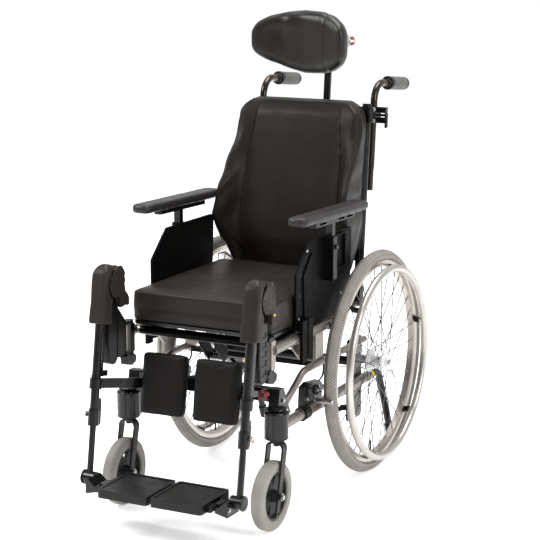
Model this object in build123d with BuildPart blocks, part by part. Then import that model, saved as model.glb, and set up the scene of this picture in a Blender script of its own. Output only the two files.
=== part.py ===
"""Tilt in space wheelchair: wheeled chassis, tilting seat, reclining back, elevating leg rests.

Millimetres, +Z up, the chair faces -Y, the floor is Z = 0 and X = 0 is the plane of symmetry.
"left" pieces stand on the +X side, which is the user's left hand.
"""
from build123d import *
from math import cos, radians, sin, sqrt
import os

os.makedirs("parts", exist_ok=True)

# ---- fits ----------------------------------------------------------------------------------
run_clear = 0.05        # radial clearance of a shaft that turns or slides in its bore
side_clear = 0.5        # clearance beside a moving cheek or lug
soft_clear = 1.0        # clearance between a padded cover and what it wraps
slide_clear = 0.25      # clearance each way of a square post in its socket

# ---- rear wheels ---------------------------------------------------------------------------
axle_y = 221.65         # rear axle, behind the middle of the chair
wheel_r = 304.5         # outer radius of the tyre
wheel_x = 242.0         # centre plane of the tyre
tyre_w = 35.0           # width of the tyre
tyre_h = 34.5           # height of the tyre over its seat in the rim
rim_flange_h = 6.0      # height of the rim's flanges over the tyre's seat
rim_depth = 12.0        # depth of the rim below the tyre's seat
rim_seat_r = wheel_r - tyre_h
rim_flange_r = rim_seat_r + rim_flange_h
rim_inner_r = rim_seat_r - rim_depth
rim_w = 26.0            # width over the rim's flanges
flange_t = 2.0          # thickness of the rim's flanges
handrim_x = 284.0       # centre plane of the handrim
handrim_drop = 47.5     # from the tyre's crown in to the centre line of the handrim
handrim_r = wheel_r - handrim_drop
handrim_tube_r = 10.0   # radius of the handrim's tube
handrim_tabs = 6        # tabs that carry the handrim on the rim
hub_x_in = 229.0        # centre of the inner spoke flange
hub_x_out = 273.0       # centre of the outer spoke flange
hub_flange_r = 31.0     # radius of the spoke flanges
hub_flange_t = 5.0      # thickness of the spoke flanges
hub_r = 13.0            # radius of the hub's barrel
hub_cap_len = 8.0       # how far the end cap stands out of the outer flange
spoke_r = 1.0           # radius of a spoke
spoke_count = 36        # spokes in a wheel
spoke_hole_r = 26.0     # radius of the circle of spoke holes in a flange
spoke_reach = 60.0      # degrees that a spoke runs round from its flange hole to the rim
spoke_offset = 1.3      # a spoke's distance from the middle of its flange
axle_r = 6.3            # radius of the quick release axle

# ---- casters -------------------------------------------------------------------------------
caster_x = 213.0        # steering axis, sideways
stem_y = axle_y - 534.0  # steering axis, fore and aft
caster_r = 87.7         # radius of the caster wheel
caster_trail = 27.0     # the wheel's axle stands this far off the steering axis
caster_w = 32.0         # width of the caster tyre
caster_hub_r = 61.0     # inner radius of the caster tyre
caster_web_t = 9.0      # thickness of the wheel's web
caster_boss_r = 13.0    # radius of the wheel's boss
caster_holes = 5        # openings in the wheel's web
caster_bolt_r = 4.0     # radius of the caster's axle bolt
fork_t = 5.0            # thickness of the fork's flat bar
fork_w = 22.0           # width of the fork's flat bar
fork_in = 19.5          # half the clear width inside the fork
fork_top = 221.0        # height of the fork's crown
fork_tip = 36.0         # height of the lower tips of the fork
stem_r = 6.0            # radius of the steering stem
housing_r = 30.0        # radius of the caster housing
housing_z0 = 226.0      # bottom of the housing
housing_z1 = 297.0      # top of the housing
cap_h = 9.0             # height of the domed cap on the housing

# ---- chassis -------------------------------------------------------------------------------
lower_x = 203.0         # lower rail, sideways
lower_z = 246.0         # lower rail, height
lower_r = 14.0          # radius of the lower rail
lower_y0 = stem_y + 46.0     # front end of the lower rail, on the caster carrier
lower_y1 = axle_y + 50.0     # rear end of the lower rail
upper_x = 198.0         # upper tube, sideways
upper_z = 354.0         # height of the upper tube's level run
upper_r = 9.0           # radius of the upper tube
upper_y0 = axle_y - 468.0    # front end of the upper tube
upper_bend_y = axle_y - 352.0    # where it turns level
upper_y1 = axle_y + 30.0     # rear end of the upper tube
upper_drop = 66.0       # how far its front end lies below its level run
upper_bend_r = 60.0     # radius of that bend
plate_t = 6.0           # thickness of the axle plate
plate_w = 90.0          # width of the axle plate
plate_z0 = 136.0        # bottom of the axle plate
plate_z1 = 366.0        # top of the axle plate
plate_hole_r = 5.0      # radius of the spare axle holes
plate_hole_pitch = 40.0      # height from hole to hole
plate_hole_gap = 60.0        # from the front column of holes to the rear one
sleeve_r = 12.0         # radius of the axle sleeve
cross_y = axle_y - 30.0      # rear cross tube
cross_z = 303.0
cross_r = 12.5
bar_w = 22.0            # front crossbar, fore and aft
bar_h = 36.0            # front crossbar, height
bar_z = 331.0           # middle of the front crossbar
bar_y = stem_y + 22.0   # middle of the front crossbar
knob_x = 178.0          # star knob on the front crossbar
knob_rise = 4.0         # height of the knob above the crossbar's middle
knob_r = 15.0           # radius of a star knob over its lobes
knob_t = 14.0           # thickness of a star knob
mid_bar_h = 14.0        # crossbar below the tilt pivots
mid_bar_w = 20.0

# ---- seat tilt -----------------------------------------------------------------------------
tilt_y = axle_y - 250.0      # tilt axis
tilt_z = 452.5
tilt_pin_r = 8.0
rail_x = 208.0          # outer seat rail, sideways
rail_r = 12.5           # radius of the outer seat rail
rail_y0 = axle_y - 545.0     # front end of the outer seat rail
rail_y1 = axle_y - 200.0     # rear end of the outer seat rail
upright_t = 8.0         # thickness of the chassis upright that carries the seat
upright_w = 46.0
inner_x = 168.0         # inner seat rail, and the back canes
inner_r = 11.0          # radius of the inner seat rail
front_tube_y = axle_y - 500.0
front_tube_r = 12.0
rear_tube_y = axle_y - 100.0
rear_tube_r = 9.5
post_x = 201.0          # axis of the leg rest's swing post, sideways
post_y = axle_y - 544.5      # and fore and aft
post_half = 11.0        # half the side of the square post
post_z0 = 404.0
post_z1 = 477.0
swing_pin_r = 5.0

# ---- seat plate and cushion ----------------------------------------------------------------
seat_w = 403.0
seat_y0 = axle_y - 536.5
seat_y1 = axle_y - 58.0
pan_z = 476.0           # underside of the seat pan
pan_t = 8.0
cushion_h = 81.0        # height of the seat cushion at its crown
cushion_r = 13.0        # corner radius of the seat cushion, seen from above

# ---- back ----------------------------------------------------------------------------------
back_lean = 5.5         # degrees that the canes lean back
hinge_y = axle_y + 48.5      # recline axis
hinge_z = 452.5
hinge_pin_r = 5.0
lug_r = 14.0            # radius of the hinge lugs
lug_t = 8.0             # thickness of the seat's hinge lug
cheek_t = 7.0           # thickness of the canes' hinge cheeks
cane_r = 12.5
cane_start = 30.0       # where the tube of the cane starts above its hinge
back_bar_r = 10.0       # radius of the bars between the canes
back_bar_low = 122.0
shell_t = 4.0           # thickness of the back shell
shell_gap = 1.0         # from the canes to the shell
back_w = 198.0          # half the width of the back cushion over its wings
back_u0 = 102.0         # bottom of the back cushion along the canes
back_u1 = 553.0         # top of the back cushion along the canes

# ---- push handles --------------------------------------------------------------------------
handle_x = 170.0
handle_v = 41.0         # from the cane back to the push handle's tube
handle_r = 9.5
handle_u0 = 305.0       # lower end of the handle's tube
handle_u = 600.0        # height of the grip's axis along the canes
handle_bend_r = 50.0
grip_v0 = 127.7         # front end of the grip
grip_len = 120.0
grip_r = 15.5
grip_collar_r = 18.0
handle_end_r = 8.5      # radius of the reduced lower end of the handle's tube
handle_end_len = 60.0
clamp_h = 44.0
clamp_gap = 16.0        # from the top of the handle clamp to the bend of the handle
clamp_u = handle_u - handle_bend_r - clamp_gap - clamp_h / 2
cane_over = 8.0         # how far a cane stands out of the top of its clamp
cane_top = clamp_u + clamp_h / 2 + cane_over
bar_drop = 20.0         # from the bottom of the clamp to the middle of the upper bar
back_bar_high = clamp_u - clamp_h / 2 - bar_drop
clamp_lever_drop = 34.0

# ---- headrest ------------------------------------------------------------------------------
head_post_v = 100.0     # from the canes back to the headrest's post
head_post_w = 19.0
head_post_t = 12.0
head_post_u0 = 330.0    # lower end of the post
head_joint_u = 704.0    # axis of the headrest's tilt
head_w = 134.0          # half the width of the headrest
head_h = 170.0
head_z = 1155.0         # middle of the headrest
head_y = axle_y + 62.0  # middle of the headrest's pad at the centre
head_shell_t = 6.0
head_pad_t = 50.0

# ---- armrests ------------------------------------------------------------------------------
panel_x = 205.0         # inner face of the side panel
panel_t = 6.0
panel_z0 = 470.0
panel_z1 = 690.0
panel_y0 = axle_y - 420.0
panel_y1 = axle_y - 90.0
arm_y = axle_y - 250.0       # the armrest's post
arm_x = 223.8
arm_post = 19.0         # side of the square post
socket_wall = 3.0
socket_z0 = 575.0
arm_post_z0 = 585.0
arm_pad_x = 223.0
arm_pad_w = 54.0
arm_pad_y0 = axle_y - 454.0
arm_pad_y1 = axle_y - 56.0
arm_pad_z0 = 742.0     # underside of the pad at its front end
arm_pad_t = 24.0
arm_slope = 1.4         # degrees that the pad drops towards the back
arm_bracket_h = 13.0
arm_bracket_w = 22.0
arm_bracket_len = 240.0

# ---- leg rests -----------------------------------------------------------------------------
leg_lean = 9.0          # degrees that the leg rest's tube leans forward going down
leg_x = 211.5
leg_y = axle_y - 705.4  # lower end of the outer tube
leg_z = 249.2
leg_tube_r = 11.0
leg_len = 362.0
knee_y = axle_y - 612.0      # elevation axis
knee_z = 592.0
knee_pin_r = 5.0
knee_eye_r = 17.0
knee_eye_t = 10.0
knee_cheek_t = 6.0
gaiter_r = 37.0         # outer radius of the knee cover round the elevation axis
gaiter_wall = 12.0
gaiter_w = 40.0
gaiter_side = 2.5       # thickness of its side walls
sleeve_w = 46.0         # padded sleeve, sideways
sleeve_d = 44.0         # padded sleeve, fore and aft
sleeve_w0 = 254.0       # lower end of the sleeve along the tube
casting_w = 25.0        # width of the hanger's casting
casting_y0 = axle_y - 646.0
casting_z0 = 388.0
casting_z1 = 540.0
casting_y1 = axle_y - 602.0
web_x0 = 197.5          # thin web from the casting to the swing post's ears
web_x1 = 207.0
foot_tube_r = 8.0
foot_tube_low = -119.0  # lower end of the foot tube along the leg
foot_tube_top = 196.0   # its upper end, inside the outer tube
foot_bore_top = 305.0   # depth of the bore in the outer tube
foot_hub_r = 18.0
foot_hub_y = axle_y - 728.0
foot_hub_z = 120.6
plate_gap = 4.0         # from the middle of the chair to a footplate
foot_plate_x1 = 146.0   # outer edge of a footplate
foot_plate_y0 = axle_y - 797.0
foot_plate_y1 = axle_y - 651.0
foot_plate_top = 121.0
foot_plate_t = 22.0
flip_x = 155.5          # axis on which a footplate folds up
flip_z = 108.0
flip_r = 8.0
flip_pin_r = 3.0
calf_low = 92.0         # lower edge of the calf bar along the leg
calf_bar_h = 25.0
calf_bar_t = 5.0
calf_clamp_r = 16.0
calf_pad_x0 = 12.0
calf_pad_x1 = 139.0
calf_pad_n = 90.0       # from the leg's tube back to the front of the calf pad
calf_pad_t = 30.0
calf_pad_low = 33.0
calf_pad_h = 154.0

# ---- brakes and anti-tip tubes -------------------------------------------------------------
brake_pivot_y = axle_y - 318.0
brake_pivot_z = 299.0
brake_clamp_y = axle_y - 362.0   # middle of the clamp on the lower rail
brake_pin_r = 5.0
brake_bar_r = 6.0
brake_gap = 0.4         # from the tread to the brake's bar
brake_bar_z = 268.0
brake_bar_end = 262.0   # outer end of the brake's bar
brake_body_x0 = 190.0
brake_body_x1 = 206.0
cable_r = 2.5           # radius of the brake's cable
cable_bend_r = 18.0     # radius of its bend
anti_tip_r = 9.5
anti_tip_depth = 40.0   # how far the anti-tip tube plugs into the rail
anti_tip_bend_y = axle_y + 118.0
anti_tip_end_y = axle_y + 207.0
anti_tip_end_z = 44.0
anti_tip_bend_r = 42.0
ring_r = 13.0
foot_r = 12.5

# ---- gas springs ---------------------------------------------------------------------------
spring_eye_r = 9.0
spring_eye_t = 10.0
spring_pin_r = 4.0
open_clear = 1.6        # clearance round the pin at the tilt spring's seat end
recline_open_clear = 2.3     # clearance round the pin at the recline spring's back end
spring_r = 11.0
spring_rod_r = 4.5
tilt_a_y = axle_y - 235.0    # tilt spring, chassis end
tilt_a_z = 300.0
tilt_b_y = axle_y - 445.0    # tilt spring, seat end
tilt_b_z = 390.0
recline_c_y = axle_y - 100.0     # recline spring, seat end
recline_c_z = 421.0
recline_d_v = 29.0           # recline spring, back end, in the leaning frame of the canes
recline_d_u = 81.0
lug_half_gap = 5.5      # half the gap between a pair of spring lugs
spring_lug_t = 4.0

# ---- frames --------------------------------------------------------------------------------
wheel_section = Plane(origin=(wheel_x, axle_y, wheel_r), x_dir=(1, 0, 0), z_dir=(0, -1, 0))
wheel_axis = Axis((0, axle_y, wheel_r), (1, 0, 0))
caster_y = stem_y - caster_trail
caster_section = Plane(origin=(caster_x, caster_y, caster_r), x_dir=(1, 0, 0), z_dir=(0, -1, 0))
caster_axis = Axis((0, caster_y, caster_r), (1, 0, 0))
# the canes' frame: X stays X, its Y runs backwards square to the canes, its Z runs up them
back_up = Vector(0, sin(radians(back_lean)), cos(radians(back_lean)))
back_frame_plane = Plane(origin=(0, hinge_y, hinge_z), x_dir=(1, 0, 0), z_dir=back_up)
# the leg's frame: its Y runs backwards square to the tube, its Z runs up the tube
leg_up = Vector(0, sin(radians(leg_lean)), cos(radians(leg_lean)))
leg_plane = Plane(origin=(leg_x, leg_y, leg_z), x_dir=(1, 0, 0), z_dir=leg_up)


def side(x):
    """Plane that faces +X at x: its X is the chair's Y and its Y is the chair's Z."""
    return Plane(origin=(x, 0, 0), x_dir=(0, 1, 0), z_dir=(1, 0, 0))


def back_side(x):
    """Plane that faces +X at x, with the recline axis as origin and the canes as its Y."""
    return Plane(origin=(x, hinge_y, hinge_z), x_dir=(0, back_up.Z, -back_up.Y), z_dir=(1, 0, 0))


def leg_side(x):
    """Plane that faces +X at x, with the foot of the outer leg tube as origin."""
    return Plane(origin=(x, leg_y, leg_z), x_dir=(0, leg_up.Z, -leg_up.Y), z_dir=(1, 0, 0))


def radial(x, degrees):
    """Plane through the wheel's axis: its X is the chair's X and its Y points outwards."""
    outward = Vector(0, cos(radians(degrees)), sin(radians(degrees)))
    return Plane(origin=(x, axle_y, wheel_r), x_dir=(1, 0, 0), z_dir=Vector(1, 0, 0).cross(outward))


def spring_side(x, start_y, start_z, end_y, end_z):
    """Plane that faces +X at x whose X runs from a spring's first pivot to its second."""
    along = Vector(0, end_y - start_y, end_z - start_z).normalized()
    return Plane(origin=(x, start_y, start_z), x_dir=along, z_dir=(1, 0, 0))


# ---- rear wheel ----------------------------------------------------------------------------
bead_w = rim_w - 2 * flange_t - 0.4
with BuildPart() as left_tyre:
    with BuildSketch(wheel_section):
        with BuildLine():
            shoulder = (tyre_w / 2, rim_flange_r + 5)
            crown = (0, wheel_r)
            bulge = (tyre_w * 0.375, wheel_r - 8.5)
            Line((-bead_w / 2, rim_seat_r + 0.2), (bead_w / 2, rim_seat_r + 0.2))
            Line((bead_w / 2, rim_seat_r + 0.2), (bead_w / 2, rim_flange_r + 0.3))
            Line((bead_w / 2, rim_flange_r + 0.3), shoulder)
            ThreePointArc(shoulder, bulge, crown)
            ThreePointArc(crown, (-bulge[0], bulge[1]), (-shoulder[0], shoulder[1]))
            Line((-shoulder[0], shoulder[1]), (-bead_w / 2, rim_flange_r + 0.3))
            Line((-bead_w / 2, rim_flange_r + 0.3), (-bead_w / 2, rim_seat_r + 0.2))
        make_face()
    revolve(axis=wheel_axis)
left_tyre.part.label = "left_tyre"

with BuildPart() as left_rim:
    with BuildSketch(wheel_section):
        with BuildLine():
            Polyline(
                (-rim_w / 2, rim_flange_r), (-rim_w / 2 + flange_t, rim_flange_r),
                (-rim_w / 2 + flange_t, rim_seat_r), (rim_w / 2 - flange_t, rim_seat_r),
                (rim_w / 2 - flange_t, rim_flange_r), (rim_w / 2, rim_flange_r),
                (rim_w / 2, rim_seat_r - 4), (rim_w / 3, rim_inner_r),
                (-rim_w / 3, rim_inner_r), (-rim_w / 2, rim_seat_r - 4), close=True)
        make_face()
    revolve(axis=wheel_axis)
left_rim.part.label = "left_rim"


def spoke_planes(flange_x, phase):
    """Planes at the flange holes, each facing along its spoke, and the spokes' length.

    Neighbouring spokes run round opposite ways and pass each other on either side of the
    flange's middle.
    """
    planes = []
    for k in range(spoke_count // 2):
        way = 1 if k % 2 == 0 else -1
        hole = radians(phase + 720.0 / spoke_count * k)
        end = hole + way * radians(spoke_reach)
        start = Vector(flange_x + way * spoke_offset,
                       axle_y + spoke_hole_r * cos(hole), wheel_r + spoke_hole_r * sin(hole))
        stop = Vector(wheel_x + way * spoke_offset,
                      axle_y + rim_inner_r * cos(end), wheel_r + rim_inner_r * sin(end))
        planes.append((Plane(origin=start, z_dir=stop - start), (stop - start).length))
    return planes


with BuildPart() as left_spokes:
    with BuildSketch(radial(0, 90)):
        with BuildLine():
            x0 = hub_x_in - hub_flange_t / 2
            x1 = hub_x_in + hub_flange_t / 2
            x2 = hub_x_out - hub_flange_t / 2
            x3 = hub_x_out + hub_flange_t / 2
            Polyline(
                (x0, 0), (x0, hub_flange_r), (x1, hub_flange_r), (x1 + 4, hub_r), (x2 - 4, hub_r),
                (x2, hub_flange_r), (x3, hub_flange_r), (x3, hub_r), (x3 + hub_cap_len, hub_r - 2),
                (x3 + hub_cap_len, 0), close=True)
        make_face()
    revolve(axis=wheel_axis)
    with BuildSketch(side(x0)):
        with Locations((axle_y, wheel_r)):
            Circle(axle_r + run_clear)
    extrude(amount=x2 + side_clear - x0, mode=Mode.SUBTRACT)
    for spoke_plane, spoke_length in spoke_planes(hub_x_out, 0) + spoke_planes(hub_x_in, 10):
        with BuildSketch(spoke_plane):
            RegularPolygon(spoke_r, 6)
        extrude(amount=spoke_length)
left_spokes.part.label = "left_spokes"

with BuildPart() as left_handrim:
    with BuildSketch(radial(handrim_x, 90)):
        with Locations((0, handrim_r)):
            Circle(handrim_tube_r)
    revolve(axis=wheel_axis)
    tab_top = handrim_r - 2
    rim_side = wheel_x + rim_w / 2
    for k in range(handrim_tabs):
        with BuildSketch(radial(0, 360.0 / handrim_tabs * k + 15)):
            Polygon(
                (rim_side, rim_seat_r - 3), (rim_side, rim_inner_r - 6),
                (handrim_x - 3, handrim_r - 12), (handrim_x, tab_top),
                (rim_side + 8, rim_inner_r + 2), align=None)
        extrude(amount=6, both=True)
left_handrim.part.label = "left_handrim"

# ---- caster --------------------------------------------------------------------------------
with BuildPart() as left_caster_wheel:
    with BuildSketch(caster_section):
        with BuildLine():
            half = caster_w / 2
            lip = half - 4
            web = caster_web_t / 2
            bore = caster_bolt_r + run_clear
            boss = fork_in - side_clear
            Polyline(
                (web, caster_hub_r - 8), (lip, caster_hub_r - 6), (lip, caster_hub_r),
                (half, caster_hub_r + 2), (half, caster_r - 10))
            ThreePointArc((half, caster_r - 10), (half - 3, caster_r - 3), (half - 10, caster_r))
            Line((half - 10, caster_r), (10 - half, caster_r))
            ThreePointArc((10 - half, caster_r), (3 - half, caster_r - 3), (-half, caster_r - 10))
            Polyline(
                (-half, caster_r - 10), (-half, caster_hub_r + 2), (-lip, caster_hub_r),
                (-lip, caster_hub_r - 6), (-web, caster_hub_r - 8), (-web, caster_boss_r + 3),
                (-boss, caster_boss_r), (-boss, bore), (boss, bore), (boss, caster_boss_r),
                (web, caster_boss_r + 3), (web, caster_hub_r - 8))
        make_face()
    revolve(axis=caster_axis)
    with BuildSketch(side(caster_x)):
        with Locations((caster_y, caster_r)):
            with PolarLocations(0, caster_holes, start_angle=90):
                Polygon((22, 0), (caster_hub_r - 13, 12.5), (caster_hub_r - 9, 0),
                        (caster_hub_r - 13, -12.5), align=None)
    extrude(amount=caster_web_t, both=True, mode=Mode.SUBTRACT)
left_caster_wheel.part.label = "left_caster_wheel"

leg_slope = caster_trail / (fork_top - 20 - caster_r)
with BuildPart() as left_caster_fork:
    with BuildSketch(Plane(origin=(caster_x, stem_y, 0), x_dir=(1, 0, 0), z_dir=(0, -1, 0))):
        with Locations((0, (fork_top + fork_tip - 10) / 2)):
            RectangleRounded(2 * (fork_in + fork_t), fork_top - fork_tip + 10, 17)
            with Locations((0, -fork_t)):
                RectangleRounded(2 * fork_in, fork_top - fork_tip + 10, 13, mode=Mode.SUBTRACT)
    extrude(amount=80, both=True)
    with BuildSketch(side(caster_x)):
        with BuildLine():
            z_low = fork_tip
            y_low = caster_y - leg_slope * (caster_r - z_low)
            tip = (y_low, z_low)
            Polyline((y_low - 8, z_low + 8), (stem_y - fork_w / 2, fork_top - 20),
                     (stem_y - fork_w / 2, fork_top + 1), (stem_y + fork_w / 2, fork_top + 1),
                     (stem_y + fork_w / 2, fork_top - 20), (y_low + 8, z_low + 8))
            ThreePointArc((y_low + 8, z_low + 8), tip, (y_low - 8, z_low + 8))
        make_face()
    extrude(amount=80, both=True, mode=Mode.INTERSECT)
    with BuildSketch(side(caster_x)):
        with Locations((caster_y - leg_slope * 41, caster_r - 41)):
            Circle(caster_bolt_r)
    extrude(amount=80, both=True, mode=Mode.SUBTRACT)
    with BuildSketch(Plane.XY.offset(fork_top - 1)):
        with Locations((caster_x, stem_y)):
            Circle(stem_r)
    extrude(amount=55)
    with BuildSketch(Plane.XY.offset(fork_top - 0.5)):
        with Locations((caster_x, stem_y)):
            Circle(stem_r + 7)
    extrude(amount=housing_z0 - fork_top)
    with BuildSketch(Plane.XY.offset(fork_top - fork_t - 7)):
        with Locations((caster_x, stem_y)):
            RegularPolygon(9, 6)
    extrude(amount=8)
    with BuildSketch(side(caster_x)):
        with Locations((caster_y, caster_r)):
            Circle(caster_bolt_r)
    extrude(amount=fork_in + fork_t + 1, both=True)
    with BuildSketch(side(caster_x + fork_in + fork_t - 0.5), side(caster_x - fork_in - fork_t - 5)):
        with Locations((caster_y, caster_r)):
            RegularPolygon(8, 6)
    extrude(amount=5.5)
left_caster_fork.part.label = "left_caster_fork"

# ---- chassis -------------------------------------------------------------------------------
with BuildPart() as lower_rails:
    with BuildSketch(Plane(origin=(lower_x, lower_y0, lower_z), z_dir=(0, 1, 0))):
        Circle(lower_r)
    extrude(amount=lower_y1 - lower_y0)
    with BuildSketch(Plane(origin=(lower_x, lower_y1, lower_z), z_dir=(0, -1, 0))):
        Circle(anti_tip_r + run_clear)
    extrude(amount=anti_tip_depth + 4, mode=Mode.SUBTRACT)
    mirror(about=Plane.YZ)
lower_rails.part.label = "lower_rails"

with BuildPart() as upper_tubes:
    with BuildLine(side(upper_x)) as upper_path:
        FilletPolyline((upper_y0, upper_z - upper_drop), (upper_bend_y, upper_z), (upper_y1, upper_z),
                       radius=upper_bend_r)
    with BuildSketch(Plane(origin=upper_path.line @ 0, z_dir=upper_path.line % 0)):
        Circle(upper_r)
    sweep()
    upright_x = rail_x - rail_r - side_clear - upright_t
    with BuildSketch(side(upright_x)):
        with BuildLine():
            half = upright_w / 2
            Polyline((tilt_y - half, tilt_z), (tilt_y - half, upper_z), (tilt_y + half, upper_z),
                     (tilt_y + half, tilt_z))
            ThreePointArc((tilt_y + half, tilt_z), (tilt_y, tilt_z + half), (tilt_y - half, tilt_z))
        make_face()
        with Locations((tilt_y, tilt_z)):
            Circle(tilt_pin_r + run_clear, mode=Mode.SUBTRACT)
    extrude(amount=upright_t)
    mirror(about=Plane.YZ)
    # crossbar between the uprights, with the lugs and pin of the tilt spring
    mid_z = upper_z - mid_bar_h / 2
    mid_x = upper_x - upper_r / 2
    with BuildSketch(side(-mid_x)):
        with Locations((tilt_y, mid_z)):
            RectangleRounded(mid_bar_w, mid_bar_h, 3)
    extrude(amount=2 * mid_x)
    for lug_x in (lug_half_gap, -lug_half_gap - spring_lug_t):
        with BuildSketch(side(lug_x)):
            with BuildLine():
                Polyline((tilt_a_y - 10, tilt_a_z), (tilt_y - 8, mid_z), (tilt_y + 8, mid_z),
                         (tilt_a_y + 10, tilt_a_z))
                ThreePointArc((tilt_a_y + 10, tilt_a_z), (tilt_a_y, tilt_a_z - 10),
                              (tilt_a_y - 10, tilt_a_z))
            make_face()
        extrude(amount=spring_lug_t)
    with BuildSketch(side(-lug_half_gap - spring_lug_t)):
        with Locations((tilt_a_y, tilt_a_z)):
            Circle(spring_pin_r)
    extrude(amount=2 * (lug_half_gap + spring_lug_t))
upper_tubes.part.label = "upper_tubes"

plate_x = lower_x - lower_r - plate_t
plate_mid_y = axle_y - 10
with BuildPart() as axle_carrier:
    with BuildSketch(side(plate_x)):
        with Locations((plate_mid_y, (plate_z0 + plate_z1) / 2)):
            RectangleRounded(plate_w, plate_z1 - plate_z0, 12)
        with Locations((plate_mid_y, wheel_r - 3.0 * plate_hole_pitch)):
            with GridLocations(plate_hole_gap, plate_hole_pitch, 2, 2):
                Circle(plate_hole_r, mode=Mode.SUBTRACT)
        with Locations((plate_mid_y + plate_hole_gap / 2, wheel_r)):
            SlotOverall(24, 9, rotation=90, mode=Mode.SUBTRACT)
    extrude(amount=plate_t)
    with BuildSketch(side(plate_x)):
        with Locations((axle_y, wheel_r)):
            Circle(sleeve_r)
    extrude(amount=hub_x_in - hub_flange_t / 2 - side_clear - plate_x)
    with BuildSketch(side(plate_x)):
        with Locations((axle_y, wheel_r)):
            Circle(axle_r)
    extrude(amount=hub_x_out - hub_flange_t / 2 - plate_x)
    with BuildSketch(side(0)):
        with Locations((cross_y, cross_z)):
            Circle(cross_r)
    extrude(amount=plate_x + plate_t / 2)
    mirror(about=Plane.YZ)
axle_carrier.part.label = "axle_carrier"

with BuildPart() as front_carrier:
    with BuildSketch(Plane.XY.offset(housing_z0)):
        with Locations((caster_x, stem_y)):
            Circle(housing_r)
    extrude(amount=housing_z1 - housing_z0)
    fillet(front_carrier.edges().filter_by(GeomType.CIRCLE), 5)
    # the casting that joins the housing to the rail, the upper tube and the crossbar
    upper_run = Vector(0, upper_bend_y - upper_y0, upper_drop).normalized()
    upper_z0 = upper_z - upper_drop
    with BuildSketch(side(lower_x - lower_r)):
        with BuildLine():
            Polyline((stem_y, lower_z - lower_r), (lower_y0, lower_z - lower_r),
                     (lower_y0, lower_z + lower_r + 4),
                     (upper_y0 + 12 * upper_run.Z, upper_z0 - 12 * upper_run.Y),
                     (upper_y0 - 12 * upper_run.Z, upper_z0 + 12 * upper_run.Y),
                     (bar_y + bar_w / 2, bar_z + bar_h / 2),
                     (bar_y - bar_w / 2, bar_z + bar_h / 2), (stem_y, housing_z1), close=True)
        make_face()
    extrude(amount=2 * lower_r)
    with BuildSketch(Plane.XY.offset(housing_z1 - 1)):
        with Locations((caster_x, stem_y)):
            Circle(housing_r * 0.72)
    extrude(amount=cap_h, taper=35)
    with BuildSketch(side(0)):
        with Locations((bar_y, bar_z)):
            RectangleRounded(bar_w, bar_h, 4)
    extrude(amount=lower_x - lower_r + 1)
    with BuildSketch(Plane.XY.offset(housing_z0)):
        with Locations((caster_x, stem_y)):
            Circle(stem_r + run_clear)
    extrude(amount=60, mode=Mode.SUBTRACT)
    mirror(about=Plane.YZ)
    # star knob on the front of the crossbar
    with BuildSketch(Plane(origin=(knob_x, bar_y - bar_w / 2 + 1, bar_z + knob_rise), z_dir=(0, -1, 0))):
        Circle(6)
    extrude(amount=9)
    with BuildSketch(Plane(origin=(knob_x, bar_y - bar_w / 2 - 7, bar_z + knob_rise), z_dir=(0, -1, 0))):
        Circle(knob_r * 0.75)
        with PolarLocations(knob_r * 0.7, 5):
            Circle(knob_r * 0.3)
    extrude(amount=knob_t)
front_carrier.part.label = "front_carrier"

# ---- parking brakes ------------------------------------------------------------------------
brake_bar_y = axle_y - sqrt((wheel_r + brake_gap + brake_bar_r) ** 2 - (wheel_r - brake_bar_z) ** 2)
clamp_y = brake_clamp_y
with BuildPart() as brake_bodies:
    with BuildSketch(Plane(origin=(lower_x, clamp_y - 15, lower_z), z_dir=(0, 1, 0))):
        Circle(lower_r + 5)
        Circle(lower_r + run_clear, mode=Mode.SUBTRACT)
    extrude(amount=30)
    with BuildSketch(side(brake_body_x0)):
        with BuildLine():
            Polyline((clamp_y - 6, lower_z + lower_r + 1), (clamp_y - 2, brake_pivot_z + 14),
                     (clamp_y + 26, brake_pivot_z + 21), (clamp_y + 92, brake_pivot_z + 13),
                     (clamp_y + 116, brake_pivot_z - 8), (clamp_y + 104, brake_pivot_z - 34),
                     (clamp_y + 24, lower_z + lower_r + 1), close=True)
        make_face()
    extrude(amount=brake_body_x1 - brake_body_x0)
    with BuildSketch(side(brake_body_x1 - 1)):
        with Locations((brake_pivot_y, brake_pivot_z)):
            Circle(brake_pin_r)
    extrude(amount=1 + 6 + side_clear)
    # cable from the top of the brake up to the chassis tube
    with BuildLine(side(brake_body_x0 + 8)) as cable_path:
        FilletPolyline(
            (clamp_y + 96, brake_pivot_z + 4), (clamp_y + 128, brake_pivot_z + 16),
            (clamp_y + 130, upper_z - upper_r), radius=cable_bend_r)
    with BuildSketch(Plane(origin=cable_path.line @ 0, z_dir=cable_path.line % 0)):
        Circle(cable_r)
    sweep()
    mirror(about=Plane.YZ)
brake_bodies.part.label = "brake_bodies"

with BuildPart() as left_brake_shoe:
    shoe_x = brake_body_x1 + side_clear
    with BuildSketch(side(shoe_x)):
        with BuildLine():
            Polyline((brake_pivot_y - 10, brake_pivot_z), (brake_bar_y - 9, brake_bar_z),
                     (brake_bar_y, brake_bar_z - 7), (brake_bar_y + 4, brake_bar_z + 4),
                     (brake_pivot_y + 10, brake_pivot_z))
            ThreePointArc((brake_pivot_y + 10, brake_pivot_z), (brake_pivot_y, brake_pivot_z + 10),
                          (brake_pivot_y - 10, brake_pivot_z))
        make_face()
        with Locations((brake_pivot_y, brake_pivot_z)):
            Circle(brake_pin_r + run_clear, mode=Mode.SUBTRACT)
    extrude(amount=5)
    with BuildSketch(side(shoe_x)):
        with Locations((brake_bar_y, brake_bar_z)):
            Circle(brake_bar_r)
    extrude(amount=brake_bar_end - shoe_x)
    chamfer(left_brake_shoe.faces().sort_by(Axis.X)[-1].edges(), 1.5)
left_brake_shoe.part.label = "left_brake_shoe"

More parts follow.
